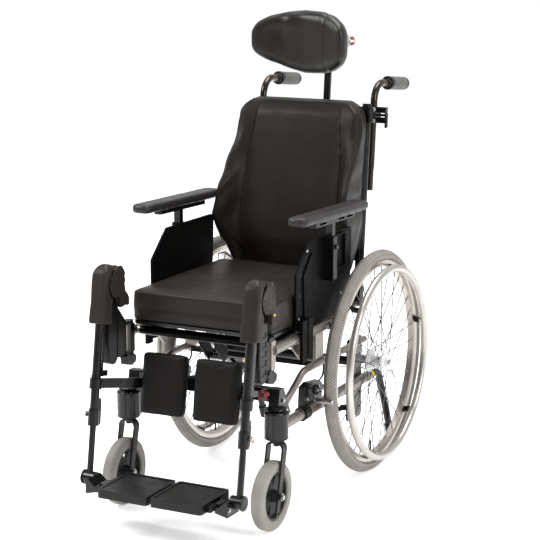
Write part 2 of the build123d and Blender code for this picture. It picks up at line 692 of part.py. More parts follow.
# ---- anti-tip tubes ------------------------------------------------------------------------
with BuildPart() as left_anti_tip:
    anti_tip_y0 = lower_y1 - anti_tip_depth
    with BuildLine(side(lower_x)) as anti_path:
        FilletPolyline((anti_tip_y0, lower_z), (anti_tip_bend_y, lower_z),
                       (anti_tip_end_y, anti_tip_end_z), radius=anti_tip_bend_r)
    with BuildSketch(Plane(origin=anti_path.line @ 0, z_dir=anti_path.line % 0)):
        Circle(anti_tip_r)
    sweep()
    with BuildSketch(Plane(origin=(lower_x, lower_y1 + side_clear, lower_z), z_dir=(0, 1, 0))):
        Circle(ring_r)
    extrude(amount=12)
    with BuildSketch(Plane(origin=anti_path.line @ 1, z_dir=anti_path.line % 1).offset(-26)):
        Circle(foot_r)
    extrude(amount=36)
left_anti_tip.part.label = "left_anti_tip"

# ---- seat ----------------------------------------------------------------------------------
with BuildPart() as seat_frame:
    with BuildSketch(Plane(origin=(rail_x, rail_y0, tilt_z), z_dir=(0, 1, 0))):
        Circle(rail_r)
    extrude(amount=rail_y1 - rail_y0)
    with BuildSketch(Plane.XY.offset(post_z0)):
        with Locations((post_x, post_y)):
            RectangleRounded(2 * post_half, 2 * post_half, 3)
    extrude(amount=post_z1 - post_z0)
    with BuildSketch(Plane.XY.offset(post_z0)):
        with Locations((post_x, post_y)):
            Circle(swing_pin_r + run_clear)
    extrude(amount=post_z1 - post_z0, mode=Mode.SUBTRACT)
    with BuildSketch(side(0)):
        with Locations((front_tube_y, tilt_z)):
            Circle(front_tube_r)
    extrude(amount=rail_x)
    with BuildSketch(Plane(origin=(inner_x, front_tube_y, tilt_z), z_dir=(0, 1, 0))):
        Circle(inner_r)
    extrude(amount=hinge_y - lug_r - 6 - front_tube_y)
    with BuildSketch(side(0)):
        with Locations((rear_tube_y, tilt_z)):
            Circle(rear_tube_r)
    extrude(amount=inner_x)
    # hinge lug for the back
    with BuildSketch(side(inner_x - lug_t / 2)):
        with BuildLine():
            low = hinge_y - lug_r - 14
            Polyline((hinge_y, hinge_z + lug_r), (low, hinge_z + inner_r - 1),
                     (low, hinge_z - inner_r + 1), (hinge_y, hinge_z - lug_r))
            ThreePointArc((hinge_y, hinge_z - lug_r), (hinge_y + lug_r, hinge_z),
                          (hinge_y, hinge_z + lug_r))
        make_face()
        with Locations((hinge_y, hinge_z)):
            Circle(hinge_pin_r + run_clear, mode=Mode.SUBTRACT)
    extrude(amount=lug_t)
    # tilt pin through the upright, with its collar beside the rail
    with BuildSketch(side(upright_x - 5)):
        with Locations((tilt_y, tilt_z)):
            Circle(tilt_pin_r)
    extrude(amount=rail_x - upright_x + 5)
    with BuildSketch(side(upright_x - side_clear)):
        with Locations((tilt_y, tilt_z)):
            Circle(tilt_pin_r + 5)
    extrude(amount=-5)
    # gusset below the outer rail, towards the front
    with BuildSketch(side(rail_x - rail_r + 1)):
        Polygon((front_tube_y + 52, tilt_z), (front_tube_y + 116, tilt_z),
                (front_tube_y + 140, tilt_z - 70), (front_tube_y + 122, tilt_z - 62), align=None)
    extrude(amount=6)
    # plates that carry the tilt spring's front end
    with BuildSketch(side(lug_half_gap + 14)):
        with BuildLine():
            Polyline((front_tube_y - 8, tilt_z), (front_tube_y + 6, tilt_z - 30),
                     (tilt_b_y - 8, tilt_b_z - 10), (tilt_b_y + 12, tilt_b_z - 2),
                     (tilt_b_y + 12, tilt_b_z + 12), (front_tube_y + 34, tilt_z - 2),
                     (front_tube_y + 8, tilt_z), close=True)
        make_face()
    extrude(amount=spring_lug_t)
    # lug that carries the recline spring's seat end
    with BuildSketch(side(lug_half_gap)):
        with BuildLine():
            Polyline((recline_c_y - 9, recline_c_z), (rear_tube_y - 9, tilt_z),
                     (rear_tube_y + 9, tilt_z), (recline_c_y + 9, recline_c_z))
            ThreePointArc((recline_c_y + 9, recline_c_z), (recline_c_y, recline_c_z - 9),
                          (recline_c_y - 9, recline_c_z))
        make_face()
    extrude(amount=spring_lug_t)
    mirror(about=Plane.YZ)
    with BuildSketch(side(-lug_half_gap - 14 - spring_lug_t)):
        with Locations((tilt_b_y, tilt_b_z)):
            Circle(spring_pin_r)
    extrude(amount=2 * (lug_half_gap + 14 + spring_lug_t))
    with BuildSketch(side(-lug_half_gap - spring_lug_t)):
        with Locations((recline_c_y, recline_c_z)):
            Circle(spring_pin_r)
    extrude(amount=2 * (lug_half_gap + spring_lug_t))
seat_frame.part.label = "seat_frame"

with BuildPart() as seat_pan:
    with BuildSketch(Plane.XY.offset(pan_z)):
        with Locations((0, (seat_y0 + seat_y1) / 2)):
            RectangleRounded(seat_w - 8, seat_y1 - seat_y0 - 4, 16)
    extrude(amount=pan_t)
    # folded flanges that stand on the inner rails
    with BuildSketch(Plane.XY.offset(tilt_z + inner_r)):
        with Locations((inner_x, (front_tube_y + rear_tube_y) / 2), (-inner_x, (front_tube_y + rear_tube_y) / 2)):
            Rectangle(5, rear_tube_y - front_tube_y - 36)
    extrude(amount=pan_z - tilt_z - inner_r + 1)
seat_pan.part.label = "seat_pan"

cushion_z = pan_z + pan_t + 0.3
cushion_mid_y = (seat_y0 + seat_y1) / 2
cushion_len = seat_y1 - seat_y0
with BuildPart() as seat_cushion:
    for rise, inset, corner in ((0, 3, cushion_r - 3), (0.5, 0, cushion_r), (0.93, 2, cushion_r),
                                (0.98, 8, cushion_r), (1, 40, cushion_r)):
        with BuildSketch(Plane.XY.offset(cushion_z + rise * cushion_h)):
            with Locations((0, cushion_mid_y)):
                RectangleRounded(seat_w - 2 * inset, cushion_len - 2 * inset, corner)
    loft(ruled=True)
seat_cushion.part.label = "seat_cushion"

# ---- back ----------------------------------------------------------------------------------
with BuildPart() as back_frame:
    with BuildSketch(Plane(origin=back_frame_plane.from_local_coords((inner_x, 0, cane_start)),
                           z_dir=back_up)):
        Circle(cane_r)
    extrude(amount=cane_top - cane_start)
    for cheek_x in (inner_x + lug_t / 2 + side_clear, inner_x - lug_t / 2 - side_clear - cheek_t):
        with BuildSketch(back_side(cheek_x)):
            with BuildLine():
                Polyline((-lug_r + 1.5, 0), (-lug_r + 1.5, cane_start + 12), (lug_r - 1.5, cane_start + 12),
                         (lug_r - 1.5, 0))
                ThreePointArc((lug_r - 1.5, 0), (0, -lug_r + 1.5), (-lug_r + 1.5, 0))
            make_face()
        extrude(amount=cheek_t)
    pin_x = inner_x - lug_t / 2 - side_clear - cheek_t
    with BuildSketch(back_side(pin_x)):
        Circle(hinge_pin_r)
    extrude(amount=2 * (inner_x - pin_x))
    with BuildSketch(back_side(0)):
        with Locations((0, back_bar_high)):
            Circle(back_bar_r)
        with Locations((0, back_bar_low)):
            Circle(back_bar_r)
    extrude(amount=inner_x)
    # lug for the recline spring
    with BuildSketch(back_side(lug_half_gap)):
        with BuildLine():
            Polyline((recline_d_v - 9, recline_d_u - 4), (0, back_bar_low - 8), (0, back_bar_low + 8),
                     (recline_d_v, recline_d_u + 9))
            ThreePointArc((recline_d_v, recline_d_u + 9), (recline_d_v + 9, recline_d_u),
                          (recline_d_v - 9, recline_d_u - 4))
        make_face()
    extrude(amount=spring_lug_t)
    mirror(about=Plane.YZ)
    with BuildSketch(back_side(-lug_half_gap - spring_lug_t)):
        with Locations((recline_d_v, recline_d_u)):
            Circle(spring_pin_r)
    extrude(amount=2 * (lug_half_gap + spring_lug_t))
    # receiver for the headrest's post
    receiver_w = head_post_w + 10
    receiver_t = head_post_t + 10
    with BuildSketch(back_frame_plane.offset(back_bar_high - 32)):
        with Locations((0, head_post_v)):
            RectangleRounded(receiver_w, receiver_t, 4)
    extrude(amount=64)
    with BuildSketch(back_frame_plane.offset(back_bar_high - 12)):
        with Locations((0, head_post_v / 2 - 2)):
            Rectangle(24, head_post_v - 14)
    extrude(amount=24)
    with BuildSketch(back_frame_plane.offset(back_bar_high - 32)):
        with Locations((0, head_post_v)):
            RectangleRounded(head_post_w + 2 * slide_clear, head_post_t + 2 * slide_clear, 3)
    extrude(amount=64, mode=Mode.SUBTRACT)
back_frame.part.label = "back_frame"

shell_v = -cane_r - shell_gap
with BuildPart() as back_shell:
    with BuildSketch(back_frame_plane.offset(back_u0 + 12)):
        with BuildLine():
            edge = inner_x + 6
            Polyline((-edge, shell_v), (edge, shell_v), (edge, shell_v - shell_t))
            ThreePointArc((edge, shell_v - shell_t), (0, shell_v - shell_t - 1.5), (-edge, shell_v - shell_t))
            Line((-edge, shell_v - shell_t), (-edge, shell_v))
        make_face()
    extrude(amount=clamp_u - clamp_h / 2 - 1 - back_u0 - 12)
    # hooks that hang the shell on the bars between the canes
    with BuildSketch(back_side(60), back_side(-60 - 20)):
        for bar_u in (back_bar_low, back_bar_high):
            with Locations((shell_v / 2, bar_u)):
                Rectangle(-shell_v + 0.5, 8)
                with Locations((-shell_v / 2, 0)):
                    Circle(back_bar_r, mode=Mode.SUBTRACT)
    extrude(amount=20)
back_shell.part.label = "back_shell"

# sections of the back cushion up the canes: height, rear half width, wing, front, seam
with BuildPart() as back_cushion:
    rear_v = shell_v - shell_t - 2.3
    for rise, rear, wing, reach, front, seam in (
            (0.0, 0.78, 0.84, -118, -104, 0.72), (0.12, 0.86, 0.93, -150, -108, 0.77),
            (0.27, 0.88, 0.98, -176, -104, 0.79), (0.42, 0.88, 0.955, -172, -98, 0.78),
            (0.60, 0.88, 0.95, -138, -90, 0.75), (0.78, 0.88, 0.93, -104, -84, 0.71),
            (0.93, 0.86, 0.89, -90, -76, 0.65), (1.0, 0.78, 0.81, -72, -62, 0.58)):
        with BuildSketch(back_frame_plane.offset(back_u0 + rise * (back_u1 - back_u0))):
            with BuildLine():
                rear_x = back_w * rear
                wing_x = back_w * wing
                seam_x = back_w * seam
                tip_x = wing_x - 10
                in_x = wing_x - 20
                Line((-rear_x, rear_v), (rear_x, rear_v))
                Line((rear_x, rear_v), (wing_x, reach + 12))
                ThreePointArc((wing_x, reach + 12), (tip_x, reach), (in_x, reach + 10))
                Line((in_x, reach + 10), (seam_x - 6, front))
                ThreePointArc((seam_x - 6, front), (0, front - 3), (6 - seam_x, front))
                Line((6 - seam_x, front), (-in_x, reach + 10))
                ThreePointArc((-in_x, reach + 10), (-tip_x, reach), (-wing_x, reach + 12))
                Line((-wing_x, reach + 12), (-rear_x, rear_v))
            make_face()
    loft(ruled=True)
back_cushion.part.label = "back_cushion"

# ---- push handles --------------------------------------------------------------------------
with BuildPart() as left_handle:
    stem_low = back_side(handle_x).from_local_coords((handle_v, handle_u0, 0))
    with BuildSketch(Plane(origin=stem_low, z_dir=back_up)):
        Circle(handle_end_r)
    extrude(amount=handle_end_len)
    with BuildLine(back_side(handle_x)) as handle_path:
        FilletPolyline((handle_v, handle_u0 + handle_end_len), (handle_v, handle_u),
                       (grip_v0 + grip_len - 8, handle_u), radius=handle_bend_r)
    with BuildSketch(Plane(origin=handle_path.line @ 0, z_dir=handle_path.line % 0)):
        Circle(handle_r)
    sweep()
left_handle.part.label = "left_handle"

grip_plane = Plane(origin=back_side(handle_x).from_local_coords((grip_v0, handle_u, 0)),
                   x_dir=(1, 0, 0), z_dir=(0, back_up.Z, -back_up.Y))
with BuildPart() as left_grip:
    with BuildSketch(grip_plane):
        Circle(grip_collar_r)
    extrude(amount=9)
    with BuildSketch(grip_plane):
        Circle(grip_r)
    extrude(amount=grip_len)
    fillet(left_grip.faces().sort_by(Axis.Y)[-1].edges(), 4)
    with BuildSketch(grip_plane):
        Circle(handle_r + run_clear)
    extrude(amount=grip_len - 8 + 0.3, mode=Mode.SUBTRACT)
left_grip.part.label = "left_grip"

with BuildPart() as handle_clamps:
    with BuildSketch(back_frame_plane.offset(clamp_u - clamp_h / 2)):
        with Locations((inner_x + 1, handle_v / 2)):
            RectangleRounded(2 * cane_r + 12, handle_v + cane_r + handle_r + 12, 8)
        with Locations((inner_x, 0)):
            Circle(cane_r + run_clear, mode=Mode.SUBTRACT)
        with Locations((handle_x, handle_v)):
            Circle(handle_r + run_clear, mode=Mode.SUBTRACT)
        with Locations((inner_x + 1 + cane_r + 6 + 10, handle_v + 2)):
            Rectangle(22, 14)
    extrude(amount=clamp_h)
    # slit that the bolt closes, and the drop lever on the bolt
    lever_x = inner_x + 1 + cane_r + 6 + 20
    with BuildSketch(back_side(inner_x + 1 + cane_r + 5)):
        with Locations((handle_v + 2, clamp_u)):
            Rectangle(16, 12)
    extrude(amount=40, mode=Mode.SUBTRACT)
    with BuildSketch(back_side(inner_x + cane_r + 5)):
        with Locations((handle_v + 2, clamp_u)):
            Circle(3.5)
    extrude(amount=lever_x - inner_x - cane_r - 5)
    with BuildSketch(back_side(lever_x - 3)):
        with Locations((handle_v + 2, clamp_u)):
            Circle(6.5)
        with Locations((handle_v + 4, clamp_u - clamp_lever_drop / 2)):
            Rectangle(8, clamp_lever_drop)
    extrude(amount=6)
    mirror(about=Plane.YZ)
handle_clamps.part.label = "handle_clamps"

# ---- headrest ------------------------------------------------------------------------------
head_joint_y = hinge_y + head_post_v * back_up.Z + head_joint_u * back_up.Y
head_joint_z = hinge_z - head_post_v * back_up.Y + head_joint_u * back_up.Z
with BuildPart() as head_post:
    with BuildSketch(back_frame_plane.offset(head_post_u0)):
        with Locations((0, head_post_v)):
            RectangleRounded(head_post_w, head_post_t, 3)
    extrude(amount=head_joint_u - head_post_u0)
    with BuildSketch(Plane(origin=(-5, head_joint_y, head_joint_z), z_dir=(1, 0, 0))):
        Circle(head_post_t)
    extrude(amount=10)
    with BuildSketch(Plane(origin=(-5, head_joint_y, head_joint_z), z_dir=(1, 0, 0))):
        Circle(4 + run_clear)
    extrude(amount=10, mode=Mode.SUBTRACT)
    with BuildSketch(back_frame_plane.offset(head_joint_u - head_post_t - 6)):
        with Locations((5 + 4.5, head_post_v), (-5 - 4.5, head_post_v)):
            Rectangle(9, 30)
    extrude(amount=40, mode=Mode.SUBTRACT)
head_post.part.label = "head_post"

# sections of the headrest from side to side: place, depth of its middle, thickness, height
head_sections = ((-1.0, -42, 34, 0.40), (-0.91, -40, 56, 0.68), (-0.71, -26, 58, 0.88),
                 (-0.37, -7, 52, 0.97), (0, 0, head_pad_t, 1.0), (0.37, -7, 52, 0.97),
                 (0.71, -26, 58, 0.88), (0.91, -40, 56, 0.68), (1.0, -42, 34, 0.40))
with BuildPart() as head_pad:
    for place, depth, thick, tall in head_sections:
        with BuildSketch(side(head_w * place)):
            with Locations((head_y + depth, head_z)):
                RectangleRounded(thick, head_h * tall, thick * 0.46)
    loft(ruled=True)
head_pad.part.label = "head_pad"

with BuildPart() as head_shell:
    # shell behind the pad, following the pad's rear face
    with BuildSketch(Plane.XY.offset(head_z - 48)):
        with BuildLine():
            Polyline(*[(head_w * place, head_y + depth + thick / 2 + 0.4)
                       for place, depth, thick, tall in head_sections[1:-1]])
            Line((head_w * 0.91, head_y - 40 + 28 + 0.4), (head_w * 0.93, head_y - 40 + 28 + 7))
            Polyline(*[(head_w * place, head_y + depth + thick / 2 + 0.4 + head_shell_t)
                       for place, depth, thick, tall in head_sections[-3:1:-1]])
            Line((head_w * 0.93, head_y - 40 + 28 + 7),
                 (head_w * 0.71, head_y - 26 + 29 + 0.4 + head_shell_t))
            Line((-head_w * 0.71, head_y - 26 + 29 + 0.4 + head_shell_t),
                 (-head_w * 0.93, head_y - 40 + 28 + 7))
            Line((-head_w * 0.93, head_y - 40 + 28 + 7), (-head_w * 0.91, head_y - 40 + 28 + 0.4))
        make_face()
    extrude(amount=96)
    # cheeks that hold the post's eye, and their pin
    for cheek_x in (5 + side_clear, -5 - side_clear - 6):
        with BuildSketch(side(cheek_x)):
            with BuildLine():
                back_face = head_y + head_pad_t / 2 + head_shell_t - 2
                Polyline((back_face, head_joint_z + 22), (back_face, head_joint_z - 22),
                         (head_joint_y, head_joint_z - 12))
                ThreePointArc((head_joint_y, head_joint_z - 12), (head_joint_y + 12, head_joint_z),
                              (head_joint_y, head_joint_z + 12))
                Line((head_joint_y, head_joint_z + 12), (back_face, head_joint_z + 22))
            make_face()
        extrude(amount=6)
    with BuildSketch(side(-5 - side_clear - 6)):
        with Locations((head_joint_y, head_joint_z)):
            Circle(4)
    extrude(amount=2 * (5 + side_clear + 6))
    # star knobs behind the wings
    for knob_side in (1, -1):
        knob_at = Vector(knob_side * head_w * 0.86, head_y + 2, head_z + 6)
        knob_out = Vector(knob_side * 0.5, 1, 0)
        with BuildSketch(Plane(origin=knob_at - knob_out * 8, z_dir=knob_out)):
            Circle(5)
        extrude(amount=22)
        with BuildSketch(Plane(origin=knob_at + knob_out * 8, z_dir=knob_out)):
            Circle(knob_r * 0.75)
            with PolarLocations(knob_r * 0.7, 5):
                Circle(knob_r * 0.3)
        extrude(amount=12)
head_shell.part.label = "head_shell"

# ---- armrests ------------------------------------------------------------------------------
socket_half = arm_post / 2 + slide_clear + socket_wall
with BuildPart() as side_panels:
    with BuildSketch(side(panel_x)):
        with BuildLine():
            FilletPolyline(
                (panel_y0, panel_z0), (panel_y0, panel_z1 - 72), (panel_y0 + 78, panel_z1),
                (panel_y1, panel_z1), (panel_y1 - 6, panel_z0 + 90), (panel_y1 - 90, panel_z0), close=True,
                radius=12)
        make_face()
    extrude(amount=panel_t)
    # socket of the armrest's post
    with BuildSketch(Plane.XY.offset(socket_z0)):
        with Locations((arm_x, arm_y)):
            Rectangle(2 * socket_half, 2 * socket_half)
    extrude(amount=panel_z1 - socket_z0)
    # tray behind the socket
    tray_y = arm_y + socket_half
    with BuildSketch(side(panel_x + panel_t)):
        with Locations((tray_y + 48, panel_z1 - 52)):
            RectangleRounded(96, 92, 5)
            RectangleRounded(88, 84, 3, mode=Mode.SUBTRACT)
    extrude(amount=7)
    # ridge along the front edge
    with BuildSketch(side(panel_x + panel_t)):
        with BuildLine():
            Polyline((panel_y0 + 40, panel_z0 + 20), (panel_y0 + 34, panel_z1 - 80),
                     (panel_y0 + 84, panel_z1 - 30), (panel_y0 + 90, panel_z1 - 34),
                     (panel_y0 + 42, panel_z1 - 84), (panel_y0 + 48, panel_z0 + 20), close=True)
        make_face()
    extrude(amount=4)
    with BuildSketch(Plane.XY.offset(socket_z0 + 4)):
        with Locations((arm_x, arm_y)):
            Rectangle(arm_post + 2 * slide_clear, arm_post + 2 * slide_clear)
    extrude(amount=panel_z1 - socket_z0, mode=Mode.SUBTRACT)
    # brackets that bolt the panel to the outside of the seat rail
    for bracket_y, bracket_low in ((panel_y0 + 12, 392), (panel_y0 + 46, 400)):
        with BuildSketch(Plane.XY.offset(bracket_low)):
            with Locations((rail_x + rail_r + 4.5, bracket_y)):
                Rectangle(9, 26)
        extrude(amount=panel_z0 + 30 - bracket_low)
        with BuildSketch(Plane.XY.offset(panel_z0 + 8)):
            with Locations(((panel_x + panel_t + rail_x + rail_r) / 2, bracket_y)):
                Rectangle(rail_x + rail_r + 2 - panel_x - panel_t, 22)
        extrude(amount=16)
    mirror(about=Plane.YZ)
side_panels.part.label = "side_panels"

# underside of the pad: its X is the chair's X, its Y runs back from the pad's front end
arm_plane = Plane(origin=(arm_pad_x, arm_pad_y0, arm_pad_z0), x_dir=(1, 0, 0),
                  z_dir=(0, sin(radians(arm_slope)), cos(radians(arm_slope))))
arm_pad_len = arm_pad_y1 - arm_pad_y0
with BuildPart() as left_arm_post:
    with BuildSketch(Plane.XY.offset(arm_post_z0)):
        with Locations((arm_x, arm_y)):
            RectangleRounded(arm_post, arm_post, 2)
    extrude(amount=arm_pad_z0 - 16 - arm_post_z0)
    with BuildSketch(arm_plane.offset(-arm_bracket_h)):
        with Locations((arm_x - arm_pad_x, arm_y + 10 - arm_pad_y0)):
            RectangleRounded(arm_bracket_w, arm_bracket_len, 5)
    extrude(amount=arm_bracket_h)
    with BuildSketch(Plane(origin=arm_plane.from_local_coords((-arm_pad_w / 2, 0, 0)),
                           x_dir=arm_plane.y_dir, z_dir=(1, 0, 0))):
        with Locations((arm_y - 66 - arm_pad_y0, -6.5), (arm_y + 44 - arm_pad_y0, -6.5),
                       (arm_y + 94 - arm_pad_y0, -6.5)):
            SlotOverall(38, 5)
    extrude(amount=arm_pad_w, mode=Mode.SUBTRACT)
left_arm_post.part.label = "left_arm_post"

with BuildPart() as left_arm_pad:
    for rise, inset, corner in ((0, 3, 15), (0.2, 0, 18), (0.75, 0, 18), (0.93, 2, 17), (1, 6, 14)):
        with BuildSketch(arm_plane.offset(rise * arm_pad_t)):
            with Locations((0, arm_pad_len / 2)):
                RectangleRounded(arm_pad_w - 2 * inset, arm_pad_len - 2 * inset, corner)
    loft(ruled=True)
left_arm_pad.part.label = "left_arm_pad"

# ---- leg rests -----------------------------------------------------------------------------
eye_x = leg_x - knee_eye_t / 2
ear_t = 9.0
with BuildPart() as left_hanger:
    with BuildSketch(side(leg_x - casting_w / 2)):
        with BuildLine():
            Polyline((casting_y1, casting_z0 + 14), (casting_y1, casting_z1),
                     (casting_y0 + 12, casting_z1), (casting_y0 + 4, casting_z1 - 24),
                     (casting_y0, casting_z0 + 60), (casting_y0 + 6, casting_z0 + 6),
                     (casting_y0 + 16, casting_z0), (casting_y1 - 14, casting_z0), close=True)
        make_face()
    extrude(amount=casting_w)
    chamfer(left_hanger.faces().sort_by(Axis.X)[-1].edges(), 2.5)
    # recesses between the casting's ribs
    with BuildSketch(side(leg_x + casting_w / 2 - 1.5)):
        for k in range(5):
            with Locations(((casting_y0 + casting_y1) / 2 + 3, casting_z0 + 28 + 23 * k)):
                Rectangle(24, 14)
    extrude(amount=1.5, mode=Mode.SUBTRACT)
    # web back to the swing post
    with BuildSketch(side(web_x0)):
        with BuildLine():
            web_end = post_y - (rail_x + rail_r + side_clear - post_x)
            Polyline((casting_y1 - 2, casting_z0 + 14), (casting_y1 - 2, casting_z1 - 8),
                     (web_end, post_z1 + side_clear + ear_t), (web_end, post_z0 - side_clear - ear_t),
                     (casting_y1 + 8, casting_z0 + 10), close=True)
        make_face()
    extrude(amount=web_x1 - web_x0)
    # arm up to the eye of the elevation axis
    with BuildSketch(side(eye_x)):
        with BuildLine():
            Line((knee_y + knee_eye_r, knee_z), (knee_y + knee_eye_r - 4, casting_z1 - 10))
            Line((knee_y + knee_eye_r - 4, casting_z1 - 10), (knee_y - knee_eye_r + 2, casting_z1 - 10))
            Line((knee_y - knee_eye_r + 2, casting_z1 - 10), (knee_y - knee_eye_r, knee_z))
            ThreePointArc((knee_y - knee_eye_r, knee_z), (knee_y, knee_z + knee_eye_r),
                          (knee_y + knee_eye_r, knee_z))
        make_face()
        with Locations((knee_y, knee_z)):
            Circle(knee_pin_r + run_clear, mode=Mode.SUBTRACT)
    extrude(amount=knee_eye_t)
    # ears over and under the seat's post, and the swing pin
    for ear_z in (post_z1 + side_clear, post_z0 - side_clear - ear_t):
        with BuildSketch(Plane.XY.offset(ear_z)):
            with Locations((post_x, post_y)):
                Circle(post_half)
            with Locations((post_x + 1, post_y - post_half)):
                Rectangle(2 * post_half - 4, 2 * post_half + 2)
        extrude(amount=ear_t)
    with BuildSketch(Plane.XY.offset(post_z0 - side_clear - ear_t)):
        with Locations((post_x, post_y)):
            Circle(swing_pin_r)
    extrude(amount=post_z1 - post_z0 + 2 * (side_clear + ear_t))
    # release lever under the post
    with BuildSketch(side(post_x - 9)):
        with BuildLine():
            lever_z = post_z0 - side_clear - ear_t
            Polyline((post_y - 30, lever_z + 2), (post_y + 10, lever_z + 2), (post_y + 19, lever_z - 6),
                     (post_y + 16, lever_z - 20), (post_y - 2, lever_z - 26), (post_y - 26, lever_z - 20),
                     close=True)
        make_face()
    extrude(amount=19)
left_hanger.part.label = "left_hanger"

with BuildPart() as left_gaiter:
    rim_top = 60            # degrees over the axis where the folded cover begins
    rim_low = -20
    # the cover's lobe lies against the rear edge of the hanger's arm
    arm_low = knee_eye_r - 4
    arm_high = knee_eye_r - 4 * 30 / (knee_z - casting_z1 + 10)
    arc_points = [(cos(radians(a)), sin(radians(a))) for a in (rim_top, 0, rim_low)]
    inner = gaiter_r - gaiter_wall
    with BuildSketch(side(leg_x - gaiter_w / 2)):
        with BuildLine():
            outer_ends = [(knee_y + gaiter_r * c, knee_z + gaiter_r * d) for c, d in arc_points]
            inner_ends = [(knee_y + inner * c, knee_z + inner * d) for c, d in arc_points]
            ThreePointArc(*outer_ends)
            Polyline(outer_ends[2], (knee_y + 54, knee_z - 44), (knee_y + 52, knee_z - 64),
                     (knee_y + arm_low, casting_z1 - 10), (knee_y + arm_high, knee_z - 30),
                     (knee_y + 22, knee_z - 26), inner_ends[2])
            ThreePointArc(*inner_ends[::-1])
            Line(inner_ends[0], outer_ends[0])
        make_face()
        # folds pressed into the cover
        for turn in (-12, 6, 24, 42):
            with Locations((knee_y + (gaiter_r + 1.5) * cos(radians(turn)),
                            knee_z + (gaiter_r + 1.5) * sin(radians(turn)))):
                Circle(3, mode=Mode.SUBTRACT)
    extrude(amount=gaiter_w)
    with BuildSketch(side(leg_x - gaiter_w / 2), side(leg_x + gaiter_w / 2 - gaiter_side)):
        with Locations((knee_y, knee_z)):
            Circle(gaiter_r - 2)
    extrude(amount=gaiter_side)
left_gaiter.part.label = "left_gaiter"

with BuildPart() as left_leg_tube:
    with BuildSketch(leg_plane):
        Circle(leg_tube_r)
    extrude(amount=leg_len)
    # clamp at the lower end, and its knob
    with BuildSketch(leg_plane):
        Circle(leg_tube_r + 3)
    extrude(amount=38)
    with BuildSketch(leg_side(leg_x + leg_tube_r)):
        with Locations((0, 26)):
            Circle(6)
    extrude(amount=9)
    # rack beside the tube and the release bar below it
    with BuildSketch(leg_side(leg_x - 8)):
        with Locations((12.5, 189)):
            Rectangle(9, 134)
        with Locations((24, 129)):
            Rectangle(32, 14)
    extrude(amount=16)
    with BuildSketch(leg_side(leg_x - 3)):
        with BuildLine():
            Polyline((8, 66), (24, 66), (28, 60), (30, 4), (24, -2), (21, 4), (20, 52), (8, 54), close=True)
        make_face()
    extrude(amount=6)
    # head that carries the tube on the elevation axis
    knee_local = leg_side(0).to_local_coords(Vector(0, knee_y, knee_z))
    for cheek_x in (eye_x + knee_eye_t + side_clear, eye_x - side_clear - knee_cheek_t):
        with BuildSketch(leg_side(cheek_x)):
            with BuildLine():
                Polyline((0, leg_len - 34), (knee_local.X, knee_local.Y - 13))
                ThreePointArc((knee_local.X, knee_local.Y - 13), (knee_local.X + 13, knee_local.Y),
                              (knee_local.X, knee_local.Y + 13))
                Polyline((knee_local.X, knee_local.Y + 13), (0, leg_len), (0, leg_len - 34))
            make_face()
        extrude(amount=knee_cheek_t)
    with BuildSketch(side(eye_x - side_clear - knee_cheek_t)):
        with Locations((knee_y, knee_z)):
            Circle(knee_pin_r)
    extrude(amount=knee_eye_t + 2 * (side_clear + knee_cheek_t))
    with BuildSketch(leg_plane):
        Circle(foot_tube_r + run_clear)
    extrude(amount=foot_bore_top, mode=Mode.SUBTRACT)
left_leg_tube.part.label = "left_leg_tube"

slot_half = casting_w / 2 + 2
with BuildPart() as left_sleeve:
    with BuildSketch(leg_side(leg_x - sleeve_w / 2)):
        with BuildLine():
            half = sleeve_d / 2
            Polyline((half, sleeve_w0), (-half, sleeve_w0), (-half, leg_len + 14))
            ThreePointArc((-half, leg_len + 14), (-half + 9, leg_len + 34), (6, leg_len + 41))
            ThreePointArc((6, leg_len + 41), (20, leg_len + 39.5), (32, leg_len + 35))
            Polyline((32, leg_len + 35), (32, leg_len), (half, leg_len - 20), (half, sleeve_w0))
        make_face()
    extrude(amount=sleeve_w)
    fillet(left_sleeve.edges().filter_by(Axis((0, 0, 0), leg_up)).group_by(Axis.Y)[0], 11)
    with BuildSketch(side(leg_x - sleeve_w)):
        with Locations((knee_y, knee_z)):
            Circle(gaiter_r + soft_clear + 0.5)
    extrude(amount=2 * sleeve_w, mode=Mode.SUBTRACT)
    # open behind, for the tube, its rack and the casting
    with BuildSketch(leg_plane.offset(sleeve_w0 - 1)):
        Circle(leg_tube_r + 0.3)
    extrude(amount=leg_len - sleeve_w0 + 1.3, mode=Mode.SUBTRACT)
    with BuildSketch(leg_side(leg_x - slot_half)):
        with Locations((62, (sleeve_w0 + leg_len) / 2)):
            Rectangle(124, leg_len - sleeve_w0 + 20)
    extrude(amount=2 * slot_half, mode=Mode.SUBTRACT)
left_sleeve.part.label = "left_sleeve"

